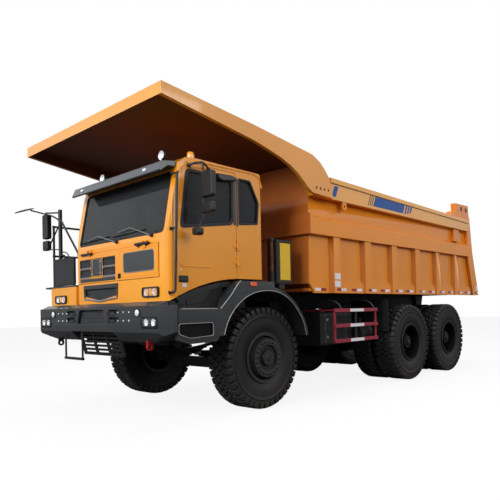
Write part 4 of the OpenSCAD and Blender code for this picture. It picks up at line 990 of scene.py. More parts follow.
def bumperTrim():
    face = bumper["face"]
    # Painted shade: the recesses in the bumper's side panels are near black
    paintWhere("front_bumper", paintedShadeBlack,
        lambda x, y, z, normal: 1.68 < abs(x) < 1.6955 and y > -1.695 and z < 1.31)
    # Tow eyes: red on the left, black on the right
    paintWhere("front_bumper", redPaint, lambda x, y, z, normal: z < 1.095 and 1.165 < x < 1.225)
    paintWhere("front_bumper", blackPlastic, lambda x, y, z, normal: z < 1.095 and -1.225 < x < -1.165)
    opening = bumper["grille"]
    # The dark back sheet behind the grille is painted shade seen through the mesh
    parts = [lattice("grille", meshBlack, -0.42, 0.42, 1.28, 1.515, face + 0.045, 0.021, 0.006),
        boxes("back", rubberSeal, 0, (-0.42, 0.42, face + 0.056, face + 0.062, 1.28, 1.515)),
        frameOf("opening", slateTrim, rounded(offsetLine(opening, 0.004), 0.02),
            rounded(offsetLine(opening, -0.012), 0.03), face - 0.003, face + 0.05, "y", 0.003)]
    bolts = bumper["bolts"]
    for side in (-1, 1):
        # Slots with a tongue in each, backed by near-black sheets of painted shade
        for x0, x1, z0, z1 in bumper["slots"]:
            low, high = span(side, x0, x1)
            middle = low + (high - low) * (0.7 if side > 0 else 0.3)
            parts += [frameOf("slotEdge", blackPlastic,
                roundRect(low - 0.006, high + 0.006, z0 - 0.006, z1 + 0.006, 0.008, 2),
                roundRect(low, high, z0, z1, 0.006, 2), face - 0.002, face + 0.03, "y", 0.0015, 1),
                boxes("slotBack", rubberSeal, 0, (low, high, face - 0.0005, face + 0.004, z0, z1)),
                boxes("tongue", slateTrim, 0.003,
                    (middle - 0.045, middle + 0.045, face - 0.004, face + 0.01, z0 + 0.012, z1 - 0.01))]
    # Bright bolt heads in two rows of three
    for x in (bolts["firstX"], -bolts["firstX"] - 2 * bolts["stepX"]):
        z = bolts["lowZ"]
        seed = rods("bolt", lampWhite, 0.001, ((x, face + 0.001, z), (x, face - 0.008, z), 0.013, 6),
            segments=1)
        parts.append(repeated(seed, rowTree, lampWhite, columns=3, rows=2, columnStep=(bolts["stepX"], 0, 0),
            rowStep=(0, 0, bolts["stepZ"])))
    dress("bumper_trim", parts, "chassis", "bumper_grey")


flapTrim()
lowerGrille()
windscreenTrim()
makeWipers()
makeLamps()
bumperTrim()
print("cab front and bumper")

# Cab side: windows, rail, drip moulding and hood as [distance behind the front axle, height]
cabSide = {
    "doorWindow": [(-1.538, 2.5), (-0.67, 2.625), (-0.66, 3.24), (-1.435, 3.236)],
    "quarterWindow": [(-0.545, 2.63), (-0.192, 2.672), (-0.16, 2.972), (-0.322, 3.265), (-0.545, 3.265)],
    "rearWindow": (-0.3, 1.2, 2.6, 3.2),
    "rail": [(-1.6, 3.165), (-1.612, 3.14), (-1.64, 2.475), (-1.668, 1.76), (-1.672, 1.7), (-1.705, 1.676)],
    "railBrackets": [3.15, 2.475, 1.69],
    "handle": (-1.585, -1.437, 1.809, 1.894),
    "blankPatch": (-1.528, -1.465, 1.752, 1.797),
    "drip": [(-1.572, 3.19), (-1.5, 3.268), (-1.4, 3.325), (-1.13, 3.366), (-0.24, 3.38), (-0.135, 3.33),
        (-0.092, 3.2)],
    "hood": [(-0.965, 3.262), (-0.93, 3.196), (-0.862, 3.176), (-0.612, 3.216), (-0.612, 3.252),
        (-0.705, 3.272)],
    "crease": [(-1.572, 2.05), (-1.548, 2.018), (-1.51, 2.006), (-1.075, 2.01), (-1.075, 2.014),
        (-1.5, 2.024), (-1.535, 2.036), (-1.56, 2.062)],
    "doorStrip": [(-0.652, 2.612), (-0.607, 2.612), (-0.607, 3.225), (-0.652, 3.225)],
    "cabStrip": [(-0.594, 2.6), (-0.562, 2.6), (-0.562, 3.262), (-0.594, 3.262)],
}


def doorTrim():
    x = cabLeft
    # Seal, the dark rail behind the glass and the crease pressed in the skin
    parts = [ring("seal", rubberSeal, cabSide["doorWindow"], 0.016, 0.022, x - 0.02, x + 0.006, "x", 0.075),
        rods("innerRail", slateTrim, 0, ((x - 0.034, -1.54, 2.684), (x - 0.034, -0.69, 2.682), 0.013, 12)),
        prism("crease", cabPaint, cabSide["crease"], x - 0.004, x + 0.007, "x", 0.004, 3)]
    # Handle in its dark recess, the lock above it and a blank patch below
    y0, y1, z0, z1 = cabSide["handle"]
    plate = roundRect(y0, y1, z0, z1, 0.016)
    pull = roundRect(y0 + 0.014, y1 - 0.014, z0 + 0.012, z1 - 0.036, 0.012, 3)
    patch = roundRect(*cabSide["blankPatch"], 0.004, 2)
    parts += [
        prism("handlePlate", blackPlastic, plate, x - 0.002, x + 0.005, "x", 0.003),
        prism("pull", blackPlastic, pull, x + 0.004, x + 0.02, "x", 0.006),
        rods("lock", dullSteel, 0.002, ((x - 0.001, -1.542, 1.958), (x + 0.006, -1.542, 1.958), 0.012, 20),
            segments=1),
        prism("patch", whitePaint, patch, x - 0.001, x + 0.0015),
        # Grey strip behind the window and the dark wedge above it
        prism("strip", greyPanel, cabSide["doorStrip"], x - 0.002, x + 0.005, "x", 0.002, 1),
        prism("wedge", slateTrim, cabSide["hood"], x - 0.002, x + 0.055, "x", 0.012, 3)]
    dress("door_trim", parts, bodyOf["door_shell"], "black_plastic")


def cabTrim():
    x, far = cabLeft, cabRight
    door, quarter = cabSide["doorWindow"], cabSide["quarterWindow"]
    rear = roundRect(*cabSide["rearWindow"], 0.06)
    parts = [ring("seal", rubberSeal, quarter, 0.01, 0.016, x - 0.024, x + 0.005, "x", 0.03),
        ring("farSeal", rubberSeal, quarter, 0.01, 0.016, far - 0.005, far + 0.024, "x", 0.03),
        ring("farDoorSeal", rubberSeal, door, 0.016, 0.022, far - 0.006, far + 0.02, "x", 0.075),
        border("rearSeal", rubberSeal, rear, 0.008, 0.018, cabBack - 0.024, cabBack + 0.005, 0.003, 1),
        prism("strip", greyPanel, cabSide["cabStrip"], x - 0.002, x + 0.005, "x", 0.002, 1),
        # Drip mouldings along both roof edges, and the grab rail in front of the door
        pipe("drip", lineAt(x, cabSide["drip"]), 0.011, cabPaint, 0.08),
        pipe("drip", lineAt(far, cabSide["drip"]), 0.011, cabPaint, 0.08),
        pipe("rail", lineAt(x + 0.045, cabSide["rail"]), 0.0165, blackPlastic, 0.05)]
    for z in cabSide["railBrackets"]:
        y = -1.604 - 0.064 * (3.165 - z) / 1.4
        parts.append(rods("bracket", blackPlastic, 0.002,
            ((x + 0.045, y, z), (x - 0.004, y - 0.052, z - 0.01), 0.0115, 12),
            ((x + 0.003, y - 0.046, z - 0.009), (x - 0.01, y - 0.06, z - 0.012), 0.024, 16), segments=1))
    dress("cab_trim", parts, "chassis", "black_rubber")


# Mirrors: heads as [x low, x high, y low, y high, z low, z high], tubes as [radius, material, bend, places]
top = (1.771, -1.31, 3.31)
postX, postY = -1.33, -1.665
disc = (-1.83, -2.013, 3.12)
mirrors = {
    "leftHeads": [(1.762, 1.979, -1.352, -1.272, 2.862, 3.186), (1.764, 1.972, -1.35, -1.27, 2.668, 2.798),
        (1.725, 1.85, -1.47, -1.37, 2.385, 2.478)],
    "stem": [top, (1.771, -1.31, 3.18), (1.771, -1.31, 2.6), (1.783, -1.38, 2.545), (1.785, -1.42, 2.47)],
    "rightHeads": [(-1.85, -1.672, -1.725, -1.645, 2.68, 3.08), (-1.848, -1.674, -1.725, -1.65, 2.49, 2.65)],
    "brace": (0.016, slateTrim, 0.03, [(postX, postY, 2.96), (cabRight - 0.03, postY, 2.33)]),
    "rightArms": [
        (0.0125, blackPlastic, 0.05, [(postX, postY, 3.06), (-1.56, -1.74, 3.075), (-1.76, -1.7, 3.11),
            (-1.76, -1.69, 3.06)]),
        (0.0125, blackPlastic, 0.05, [(postX, postY, 2.93), (-1.48, -1.72, 3.02), (-1.73, -1.953, 3.116)]),
        (0.011, blackPlastic, 0.05, [(postX, postY, 2.9), (-1.66, -1.69, 2.56), (-1.74, -1.69, 2.56)]),
        (0.009, blackPlastic, 0.03, [(postX, postY, 2.47), (-1.7, -1.69, 2.51)])],
    "cable": (0.009, rubberSeal, 0.09, [(postX + 0.028, postY, 2.415), (-1.23, postY, 2.43),
        (-1.12, postY + 0.01, 2.395), (-1.06, postY + 0.02, 2.29)]),
    "bowl": [(0.0, 0.0125), (0.07, 0.0115), (0.125, 0.006), (0.146, -0.002), (0.149, -0.007),
        (0.146, -0.011), (0.0, -0.011)],
    "silvering": [(0.0, -0.016), (0.09, -0.014), (0.138, -0.0105), (0.138, -0.009), (0.0, -0.009)],
}


def mirrorHead(x0, x1, y0, y1, z0, z1):
    inner = roundRect(x0 + 0.014, x1 - 0.014, z0 + 0.014, z1 - 0.014, 0.022, 4)
    return [prism("head", blackPlastic, roundRect(x0, x1, z0, z1, 0.03, 4), y0, y1, "y", 0.016, 3),
        prism("silvering", lampMirror, inner, y1 - 0.004, y1 + 0.0015, "y")]


def arm(radius, material, bend, places):
    return pipe("arm", places, radius, material, bend)


def makeMirrors():
    parts = []
    for head in mirrors["leftHeads"]:
        parts += mirrorHead(*head)
    for y in (-1.4, -1.08):
        places = [(cabLeft + 0.014, y, 3.288), (cabLeft + 0.075, y * 0.6 - 0.4 * 1.31, 3.312), top]
        parts.append(pipe("arm", places, 0.0135, blackPlastic, 0.05))
        parts.append(boxes("foot", blackPlastic, 0.006,
            (cabLeft - 0.001, cabLeft + 0.02, y - 0.026, y + 0.026, 3.262, 3.314)))
    parts.append(pipe("stem", mirrors["stem"], 0.0125, blackPlastic, 0.04))
    dress("left_mirrors", parts, bodyOf["mirror_left"], "black_plastic", "mirror_left")

    parts = [rods("post", blackPlastic, 0.003, ((postX, postY, 1.88), (postX, postY, 3.106), 0.03, 24),
        ((postX, postY, 1.88), (postX, postY, 1.892), 0.062, 24))]
    for head in mirrors["rightHeads"]:
        parts += mirrorHead(*head)
    parts += [arm(*mirrors["brace"]), boxes("braceFoot", blackPlastic, 0.006,
        (cabRight - 0.045, cabRight + 0.001, postY - 0.025, postY + 0.025, 2.3, 2.36))]
    parts += [arm(*tube) for tube in mirrors["rightArms"]]
    # Round mirror that looks down in front of the truck
    for name, material in (("bowl", blackPlastic), ("silvering", lampMirror)):
        parts.append(turned(name, material, mirrors[name], 48, disc, "Y", 0, 20))
    parts.append(arm(*mirrors["cable"]))
    dress("right_mirrors", parts, "chassis", "black_plastic", "mirror_right")


# Work lamps and beacon on the roof, as profiles of [radius, height or depth]
roof = {
    "can": [(0.0, -0.04), (0.036, -0.034), (0.058, -0.016), (0.065, 0.0), (0.066, 0.02), (0.06, 0.023),
        (0.058, 0.012)],
    "beacon": (1.466, -1.257, cabRoof),
    "base": [(0.0, -0.002), (0.06, -0.002), (0.06, 0.014), (0.054, 0.025), (0.0, 0.025)],
    "dome": [(0.05, 0.024), (0.05, 0.06), (0.048, 0.092), (0.04, 0.108), (0.022, 0.115), (0.0, 0.117)],
}


def visorTrim():
    paintWhere("visor", visorPaint, everywhere)
    parts = []
    for x in (-0.36, 1.22):
        parts.append(prism("marker", whitePaint, roundRect(x - 0.035, x + 0.035, 3.212, 3.246, 0.012, 3),
            cabFace - 0.068, cabFace - 0.04, "y", 0.004))
    y = cabFace + 0.03
    for x, z in ((0.077, 3.335), (1.48, 3.372)):
        parts.append(turned("can", blackPlastic, roof["can"], 32, (x, y, z)))
        parts += lampBowl(x, y - 0.02, z, 0.058, 0.025)
        parts.append(boxes("lampFoot", blackPlastic, 0.003,
            (x - 0.012, x + 0.012, y - 0.012, y + 0.03, z - 0.1, z - 0.03)))
    parts.append(turned("base", blackPlastic, roof["base"], 40, roof["beacon"], "Y", 0.002))
    parts.append(turned("dome", beaconLens, roof["dome"], 40, roof["beacon"], "Y"))
    dress("roof_trim", parts, "chassis", "amber_lens")


doorTrim()
cabTrim()
makeMirrors()
visorTrim()
print("cab side, mirrors and roof")

# Fenders and guards, lines as [x, radius, material, bend, places of y and z]
sideGear = {
    "fenderLamp": (-0.47, -0.35, 1.776, 1.832),
    "opening": [(-1.685, 1.297), (-1.146, 1.3), (-1.14, 1.136), (-1.511, 1.116), (-1.685, 1.172)],
    "lines": {
        # The lip, crest and tray edge lines are pale, as painted highlights along the fender's edges
        "lip": (1.714, 0.0075, paintedHighlightEdge, 0.05, [(-0.958, 1.13), (-0.918, 1.246), (-0.858, 1.356),
            (-0.78, 1.454), (-0.69, 1.536), (-0.588, 1.606), (-0.472, 1.66), (-0.328, 1.702), (-0.166, 1.72),
            (-0.04, 1.718), (0.094, 1.702), (0.226, 1.658), (0.33, 1.603), (0.434, 1.526), (0.52, 1.44),
            (0.596, 1.346), (0.656, 1.25), (0.696, 1.152), (0.718, 1.05)]),
        "crest": (1.716, 0.006, paintedHighlightEdge, 0.05, [(-1.01, 1.476), (-0.826, 1.649), (-0.7, 1.801),
            (-0.64, 1.846)]),
        "trayEdge": (1.657, 0.0065, paintedHighlightEdge, 0.05, [(-1.6, 1.476), (-1.33, 1.476), (-1.012, 1.476)]),
        "wallLine": (1.474, 0.008, rubberSeal, 0.1, [(-1.56, 1.53), (-1.2, 1.548), (-0.96, 1.6),
            (-0.72, 1.74)]),
    },
    "guardBars": [(0.865, 0.925), (1.12, 1.18), (1.38, 1.44)],
    "guardPatch": (1.975, 2.395),
}


def fenderTrim():
    # The liner over the wheel and the mudguards are black, and the arch's downward faces are painted black as
    # shade
    paintWhere("fenders", blackPlastic,
        lambda x, y, z, normal: y > 0.16 or abs(x) < 1.438 or (abs(x) < 1.715 and normal.z < -0.2))
    # Glossy black band along the door's edge and the wall under it
    paintWhere("fenders", blackGloss, lambda x, y, z, normal: abs(x) < 1.535 and y < -0.6 and z > 1.476)
    parts = []
    for side in (-1, 1):
        def line(name):
            x, radius, material, bend, places = sideGear["lines"][name]
            return pipe(name, lineAt(x * side, places), radius, material, bend)
        low, high = span(side, 1.468, 1.484)
        parts += [prism("marker", markerLens, roundRect(*sideGear["fenderLamp"], 0.02),
            *span(side, 1.719, 1.734), "x", 0.007, 3),
            rods("cap", blackPlastic, 0.004, ((low, -1.345, 1.555), (high, -1.345, 1.555), 0.034, 24)),
            line("lip"), line("crest"), line("trayEdge"),
            # Painted highlight: a pale edge round the opening in the panel before the wheel
            ring("openingEdge", paintedHighlightEdge, sideGear["opening"], 0.004, 0.003, *span(side, 1.712, 1.7225), "x",
                0.04, 0),
            line("wallLine")]
    dress("fender_trim", parts, "chassis", "bumper_grey")


# Ribbed lid round the air cleaner's plate, and the intake pipe in front of it, rusty near its foot
def airCleanerTrim():
    face, x, y = 1.56, 1.5, 0.205
    paintWhere("air_cleaner", yellowPlate, lambda x, y, z, normal: x > face + 0.002)
    bars = [((x, y, low), (x, y, high), radius, 20) for low, high, radius in
        ((2.47, 2.52, 0.04), (1.86, 2.03, 0.034), (1.8, 1.87, 0.046))]
    parts = [frameOf("lid", blackPlastic, roundRect(0.246, 0.566, 1.838, 2.494, 0.03),
        roundRect(0.312, 0.552, 1.884, 2.456, 0.01), face - 0.004, face + 0.01, "x", 0.004),
        rods("rusty", rustPaint, 0, ((x, y, 2.02), (x, y, 2.48), 0.026, 20)),
        rods("pipe", blackPlastic, 0.004, *bars),
        pipe("hose", [(1.48, y, 1.83), (1.38, y, 1.8), (1.2, 0.25, 1.8), (0.9, 0.28, 1.79)], 0.03, rubberSeal,
            0.1)]
    dress("air_cleaner_trim", parts, "chassis", "black_plastic")


def guardTrim():
    # Painted shade: the middle posts stand back in the dark, and are painted black
    paintWhere("side_guards", framePaint, lambda x, y, z, normal: abs(x) < 1.6405 and 2.1 < y < 2.3)
    parts = []
    for side in (-1, 1):
        for z0, z1 in sideGear["guardBars"]:
            parts.append(boxes("patch", whitePaint, 0,
                (*span(side, 1.669, 1.6715), *sideGear["guardPatch"], z0 + 0.004, z1 - 0.004)))
        # Grey stays from the frame to the top bar
        for y in (1.62, 2.64):
            stay = [(0.62, y - 0.02, 1.425), (1.4, y - 0.02, 1.6), (1.6, y + 0.06, 1.56),
                (1.655, y + 0.11, 1.44)]
            parts.append(pipe("stay", mirrored(stay, side), 0.014, slateTrim, 0.07))
    dress("guard_trim", parts, "chassis", "guard_maroon")


fenderTrim()
airCleanerTrim()
guardTrim()
print("fenders, air cleaner and guards")

# Dump body: reflectors along the lower edge as [from, middle, to], stripes on the rail, brackets
bed = {
    "skinX": 1.64,
    "stripX": 1.69,
    "ribX": 1.72,
    "railX": 1.762,
    "reflectors": [(1.055, 1.206, 1.349), (1.547, 1.69, 1.846), (2.006, 2.165, 2.324), (2.497, 2.65, 2.805),
        (2.948, 3.107, 3.267), (3.456, 3.61, 3.764), (3.886, 4.043, 4.201), (4.417, 4.57, 4.722),
        (4.875, 5.026, 5.178), (5.348, 5.5, 5.655), (5.836, 5.975, 6.113), (6.305, 6.456, 6.607),
        (6.74, 6.9, 7.058), (7.292, 7.4, 7.48)],
    "reflectorZ": (1.735, 1.782),
    "ribFirst": 1.55,
    "ribPitch": 0.935,
    "ribs": 6,
    "squares": [(7.34, 7.42, 1.8, 1.925), (1.488, 1.64, 1.928, 2.03), (1.488, 1.64, 1.803, 1.903)],
    "groove": [(1.356, 3.488), (6.87, 3.412), (6.87, 3.42), (1.356, 3.496)],
    "ledge": [(1.636, 1.935), (1.689, 1.852), (1.689, 1.846), (1.636, 1.846)],
    "upright": [(6.15, 2.945), (6.44, 2.945), (6.44, 3.238), (6.15, 3.238)],
    "bracket": [(6.02, 3.47), (7.05, 3.47), (7.03, 3.64), (7.005, 3.872), (6.27, 3.85), (6.29, 3.655),
        (6.02, 3.625)],
}


# X of the body's outer surface near its lower edge, or None where a rib's flank slopes
def edgeX(distance):
    for i in range(bed["ribs"]):
        middle = bed["ribFirst"] + bed["ribPitch"] * i
        if middle - 0.075 < distance < middle + 0.105:
            return bed["ribX"]
        if middle - 0.135 < distance < middle + 0.135:
            return None
    if distance < 1.66:
        return bed["skinX"]
    return bed["stripX"] if distance < 7.085 else bed["ribX"]


# The flat runs of a patch, each as [from, to, x]: it is cut where the surface steps
def flatRuns(start, end, steps=12):
    runs, last = [], None
    for k in range(steps):
        a, b = start + (end - start) * k / steps, start + (end - start) * (k + 1) / steps
        x = edgeX(a) if edgeX(a) == edgeX(b) else None
        if x and x == last:
            runs[-1][1] = b
        elif x:
            runs.append([a, b, x])
        last = x
    return runs


def bodyTrim():
    # Painted shade: the ribs' front faces get a darker orange, the front wall under the canopy a darker
    # brown-orange, and the inner faces that look down a dark brown
    paintWhere("dump_body", bodyShade,
        lambda x, y, z, normal: normal.y < -0.6 and abs(x) > 1.62 and z < 2.7 and y > 1.3)
    paintWhere("dump_body", wallPaintedShade, lambda x, y, z, normal: normal.y < -0.3 and abs(x) < 1.6 and y < 1.2)
    paintWhere("dump_body", paintedShadeBrown, lambda x, y, z, normal: normal.z < -0.3 and abs(x) < 1.6)
    parts = []
    for side in (-1, 1):
        def patch(material, y0, y1, z0, z1, x):
            parts.append(boxes("patch", material, 0, (*span(side, x - 0.001, x + 0.002), y0, y1, z0, z1)))

        def stripe(material, y0, y1, lean=0.085, z0=3.285, z1=3.465):
            x = bed["railX"]
            parts.append(prism("stripe", material, [(y0, z0), (y1, z0), (y1 + lean, z1), (y0 + lean, z1)],
                *span(side, x - 0.001, x + 0.0018)))
        for number, (start, middle, end) in enumerate(bed["reflectors"]):
            first, second = (redReflector, whitePaint) if number else (whitePaint, redReflector)
            for material, y0, y1 in ((first, start, middle), (second, middle, end)):
                for a, b, x in flatRuns(y0, y1):
                    patch(material, a, b, *bed["reflectorZ"], x)
        for square in bed["squares"]:
            patch(whitePaint, *square, bed["ribX"])
        # Blue and grey stripes along the rail
        stripe(bluePaint, 1.388, 1.5)
        for k in range(3):
            stripe(greyPanel, 2.47 + 0.055 * k, 2.492 + 0.055 * k)
        stripe(bluePaint, 2.64, 3.722)
        for k in range(3):
            stripe(bluePaint, 3.775 + 0.105 * k, 3.832 + 0.105 * k, 0.085 - 0.012 * k, 3.28 + 0.02 * k)
        # Groove under the rail's cap in painted shade, and a sloped ledge at the foot of each bay
        parts.append(prism("groove", paintedShadeBrown, bed["groove"], *span(side, 1.7605, 1.7635)))
        ledge = [(x * side, z) for x, z in bed["ledge"]]
        for k in range(bed["ribs"]):
            rib = bed["ribFirst"] + bed["ribPitch"] * k
            following = rib + bed["ribPitch"]
            parts.append(prism("ledge", bodyPaint, ledge, rib + 0.11, following - 0.085, "y", 0.002, 1))
        # Upright near the rear post, and a bracket on the rear top corner with two holes drawn as dark discs
        # of painted shade
        x = bed["skinX"]
        holes = [((1.7165 * side, y, 3.745), (1.7195 * side, y, 3.745), 0.058, 28) for y in (6.6, 6.86)]
        parts += [prism("upright", bodyPaint, bed["upright"], *span(side, x - 0.004, x + 0.078), "x", 0.008),
            prism("bracket", bodyPaint, bed["bracket"], *span(side, 1.598, 1.718), "x", 0.012, 3),
            rods("holes", paintedShadeBrown, 0, *holes)]
    dress("body_trim", parts, bodyOf["dump_body"], "body_orange")


def canopyTrim():
    paintWhere("canopy", canopyPaint, everywhere)
    paintWhere("dump_body", canopyPaint, lambda x, y, z, normal: abs(x) > 1.755)
    # Painted shade: the canopy's underside, the inner faces of its flanges and the back of its front lip are
    # dark brown, and its holes are dark discs
    paintWhere("canopy", paintedShadeBrown, lambda x, y, z, normal: (normal.y > 0.7 and y < -1.9)
        or (abs(x) < 1.765 and (normal.z < -0.25 or abs(normal.x) > 0.7)))
    parts = [rods("hole", paintedShadeBrown, 0, *[
        ((1.8 * side, y, 3.339), (1.8075 * side, y, 3.339), 0.03, 24) for y in (0.922, 1.022, 1.122, 1.222)])
        for side in (-1, 1)]
    dress("canopy_trim", parts, bodyOf["canopy"], "body_orange")


bodyTrim()
canopyTrim()
paintWhere("bed_subframe", framePaint, everywhere)
print("dump body and canopy")


# Leaf springs: each leaf's half is shorter than the last one's, and its ends rise above its middle at z
springPacks = {
    "front": {"y": 0, "half": 0.755, "shorter": 0.085, "leaves": 7, "thick": 0.0155, "x": (0.394, 0.476),
        "z": 0.812, "gap": -0.0165, "rise": 0.098, "bolts": (0.69, 0.85)},
    "bogie": {"y": 4.82, "half": 1.02, "shorter": 0.09, "leaves": 10, "thick": 0.016, "x": (0.557, 0.643),
        "z": 0.884, "gap": 0.0175, "rise": 0.014, "bolts": (0.87, 1.075)},
}


def leafOutline(pack, number, steps=14):
    half = pack["half"] - pack["shorter"] * number
    low = []
    for i in range(steps + 1):
        s = -half + 2 * half * i / steps
        low.append((pack["y"] + s, pack["z"] + pack["gap"] * number + pack["rise"] * (s / pack["half"]) ** 2))
    return low + [(y, z + pack["thick"]) for y, z in reversed(low)]


def makeSprings():
    parts = []
    y = springPacks["bogie"]["y"]
    saddle = [(y - 0.12, 0.79), (y - 0.075, 0.742), (y + 0.075, 0.742), (y + 0.12, 0.79), (y + 0.12, 0.88),
        (y - 0.12, 0.88)]
    for side in (-1, 1):
        leaves, bolts = [], []
        for pack in springPacks.values():
            near, far = pack["x"]
            low, high = pack["bolts"]
            for k in range(pack["leaves"]):
                leaves.append((leafOutline(pack, k), *span(side, near, far)))
            for y in (pack["y"] - 0.07, pack["y"] + 0.07):
                for x in (near - 0.004, far + 0.004):
                    bolts.append(((x * side, y, low), (x * side, y, high), 0.01, 12))
                bolts.append((((near - 0.01) * side, y, high), ((far + 0.01) * side, y, high), 0.011, 12))
        parts += [drawn(addPrism, "leaves", framePaint, 0.002, 1, leaves), rods("bolts", castIron, 0, *bolts),
            prism("saddle", framePaint, saddle, *span(side, 0.545, 0.66), "x", 0.01)]
    dress("leaf_springs", parts, "chassis", "frame_black", "springs")


# Seats, with X of the middles. The pads are made in the frame itself
seat = {
    "places": (1.08, -0.12),
    "half": 0.236,
    "cushion": [(-1.018, 2.196), (-0.505, 2.188), (-0.505, 2.29), (-1.01, 2.306)],
    "back": [(-0.5, 2.318), (-0.412, 2.318), (-0.312, 2.985), (-0.392, 2.985)],
    "shell": [(-0.42, 2.3), (-0.398, 2.3), (-0.3, 2.95), (-0.316, 2.955)],
    "voxel": 0.015,
    "pressure": 4.0,
    "frames": 20,
    "cap": 0.016,
    "channel": 0.011,
    "channelWidth": 0.012,
}


# Swells a closed pad by cloth pressure, with a limit on how far a point may move
def swelled(obj, held):
    before = [vertex.co.copy() for vertex in obj.data.vertices]
    group = obj.vertex_groups.new(name="held")
    group.add([i for i, place in enumerate(before) if held(place)], 1.0, "REPLACE")
    cloth = modified(obj, "CLOTH")
    cloth.settings.vertex_group_mass = "held"
    cloth.settings.use_pressure = True
    cloth.settings.uniform_pressure_force = seat["pressure"]
    cloth.settings.effector_weights.gravity = 0
    cloth.settings.quality = 4
    cloth.point_cache.frame_start = 1
    cloth.point_cache.frame_end = seat["frames"]
    for number in range(1, seat["frames"] + 1):
        bpy.context.scene.frame_set(number)
    applied(obj)
    bpy.context.scene.frame_set(1)
    obj.vertex_groups.clear()
    for vertex, start in zip(obj.data.vertices, before):
        moved = vertex.co - start
        if moved.length > seat["cap"]:
            vertex.co = start + moved.normalized() * seat["cap"]


def makePad(outline, x, held, channels):
    pad = prism("pad", seatCloth, outline, x - seat["half"], x + seat["half"], "x", 0.034, 3)
    modified(pad, "REMESH", mode="VOXEL", voxel_size=seat["voxel"])
    applied(pad)
    swelled(pad, held)
    # Sewn channels pressed in after the swelling
    for vertex in pad.data.vertices:
        vertex.co += channels(vertex.co, abs(vertex.co.x - x))
    modified(pad, "SUBSURF", levels=1, render_levels=1)
    applied(pad)
    pad.data.materials.clear()
    pad.data.materials.append(seatCloth)
    pad.data.shade_smooth()
    return pad


def groove(distance):
    return math.exp(-(distance / seat["channelWidth"]) ** 2)


def cushionChannels(place, across):
    if place.z < 2.235:
        return Vector((0, 0, 0))
    crossing = max(groove(place.y - frontY - y) for y in (-0.9, -0.64))
    cut = max(groove(across - 0.15), crossing * (across < 0.15))
    return Vector((0, 0, -1)) * (seat["channel"] * cut - 0.01 * max(0, across - 0.165) / 0.07)


def backPlace(y, z):
    return frontY + y + 0.15 * (z - 2.318)


def backChannels(place, across):
    if place.y >= backPlace(-0.455, place.z):
        return Vector((0, 0, 0))
    crossing = max(groove(place.z - z) for z in (2.5, 2.66))
    cut = max(groove(across - 0.14), crossing * (across < 0.14), groove(place.z - 2.82))
    return Vector((0, 1, 0)) * (seat["channel"] * cut - 0.012 * max(0, across - 0.155) / 0.07)


def makeSeats():
    pads, bases = [], []
    for x in seat["places"]:
        pads += [makePad(seat["cushion"], x, lambda place: place.z < 2.21, cushionChannels),
            makePad(seat["back"], x, lambda place: place.y > backPlace(-0.425, place.z), backChannels)]
        # Pleated boot, rails and pan, with a shell behind the back and a belt
        boot = []
        for k in range(5):
            inset, z = 0.012 if k % 2 else 0.0, 1.985 + 0.034 * k
            boot.append((x - 0.18 + inset, x + 0.18 - inset, inset - 0.93, -0.47 - inset, z, z + 0.034))
        bases += [boxes("base", blackPlastic, 0.006, *boot, (x - 0.2, x + 0.2, -0.95, -0.45, 1.931, 1.985),
            (x - 0.205, x + 0.205, -0.985, -0.47, 2.155, 2.186)),
            prism("shell", blackPlastic, seat["shell"], x - 0.19, x + 0.19, "x", 0.006),
            pipe("belt", [(x + 0.232, -0.42, 2.7), (x + 0.215, -0.525, 2.64), (x + 0.212, -0.6, 2.33)], 0.006,
                blackPlastic, 0.05)]
    cushions = joined("seat_pads", pads)
    cushions.data.shade_smooth()
    attach(cushions, "chassis", "seat_fabric", "seats")
    dress("seat_bases", bases, "chassis", "black_plastic")


def dashTrim():
    x, y = 1.08, cabFace + 0.345
    hood = [(y - 0.15, 2.398), (y + 0.02, 2.33), (y + 0.045, 2.352), (y - 0.01, 2.44), (y - 0.15, 2.452)]
    parts = [prism("hood", blackPlastic, hood, x - 0.23, x + 0.23, "x", 0.014, 3)]
    for place in (x - 0.12, x, x + 0.12):
        dial = ((place, y + 0.014, 2.392), (place, y + 0.024, 2.396), 0.046, 28)
        parts.append(rods("dial", whitePaint, 0.002, dial, segments=1))
    # Switches, and the shift lever between the seats
    switches = [(0.3 + 0.075 * k, 0.355 + 0.075 * k, y + 0.012, y + 0.036, 2.3, 2.322) for k in range(6)]
    lever = [(0.48, -0.9, 1.935), (0.48, -0.9, 2.15), (0.49, -0.96, 2.33)]
    parts += [boxes("switches", slateTrim, 0.004, *switches), pipe("lever", lever, 0.012, blackPlastic, 0.06),
        rods("knob", rubberSeal, 0.006, ((0.49, -0.96, 2.32), (0.492, -0.975, 2.385), 0.028, 16, 0.02))]
    dress("dash_trim", parts, "chassis", "black_plastic")


# Straps as [x low, x high, z low, z high, corner, places], fillers as [x, y, z]
tankGear = {
    "straps": [(-1.56, -0.8, 0.78, 1.4, 0.07, (1.62, 2.1, 2.64)), (0.76, 1.33, 0.8, 1.38, 0.06, (1.7, 2.3))],
    "fillers": [(-1.18, 1.75, 1.4), (1.05, 1.95, 1.38)],
    "lines": [
        (0.014, 0.08, [(1.3, 2.59, 1.12), (1.15, 2.56, 1.24), (0.7, 2.56, 1.33), (0.49, 2.56, 1.34)]),
        (0.022, 0.09, [(0.9, 1.64, 1.38), (0.9, 1.64, 1.46), (0.64, 1.6, 1.465), (0.49, 1.5, 1.4)])],
}


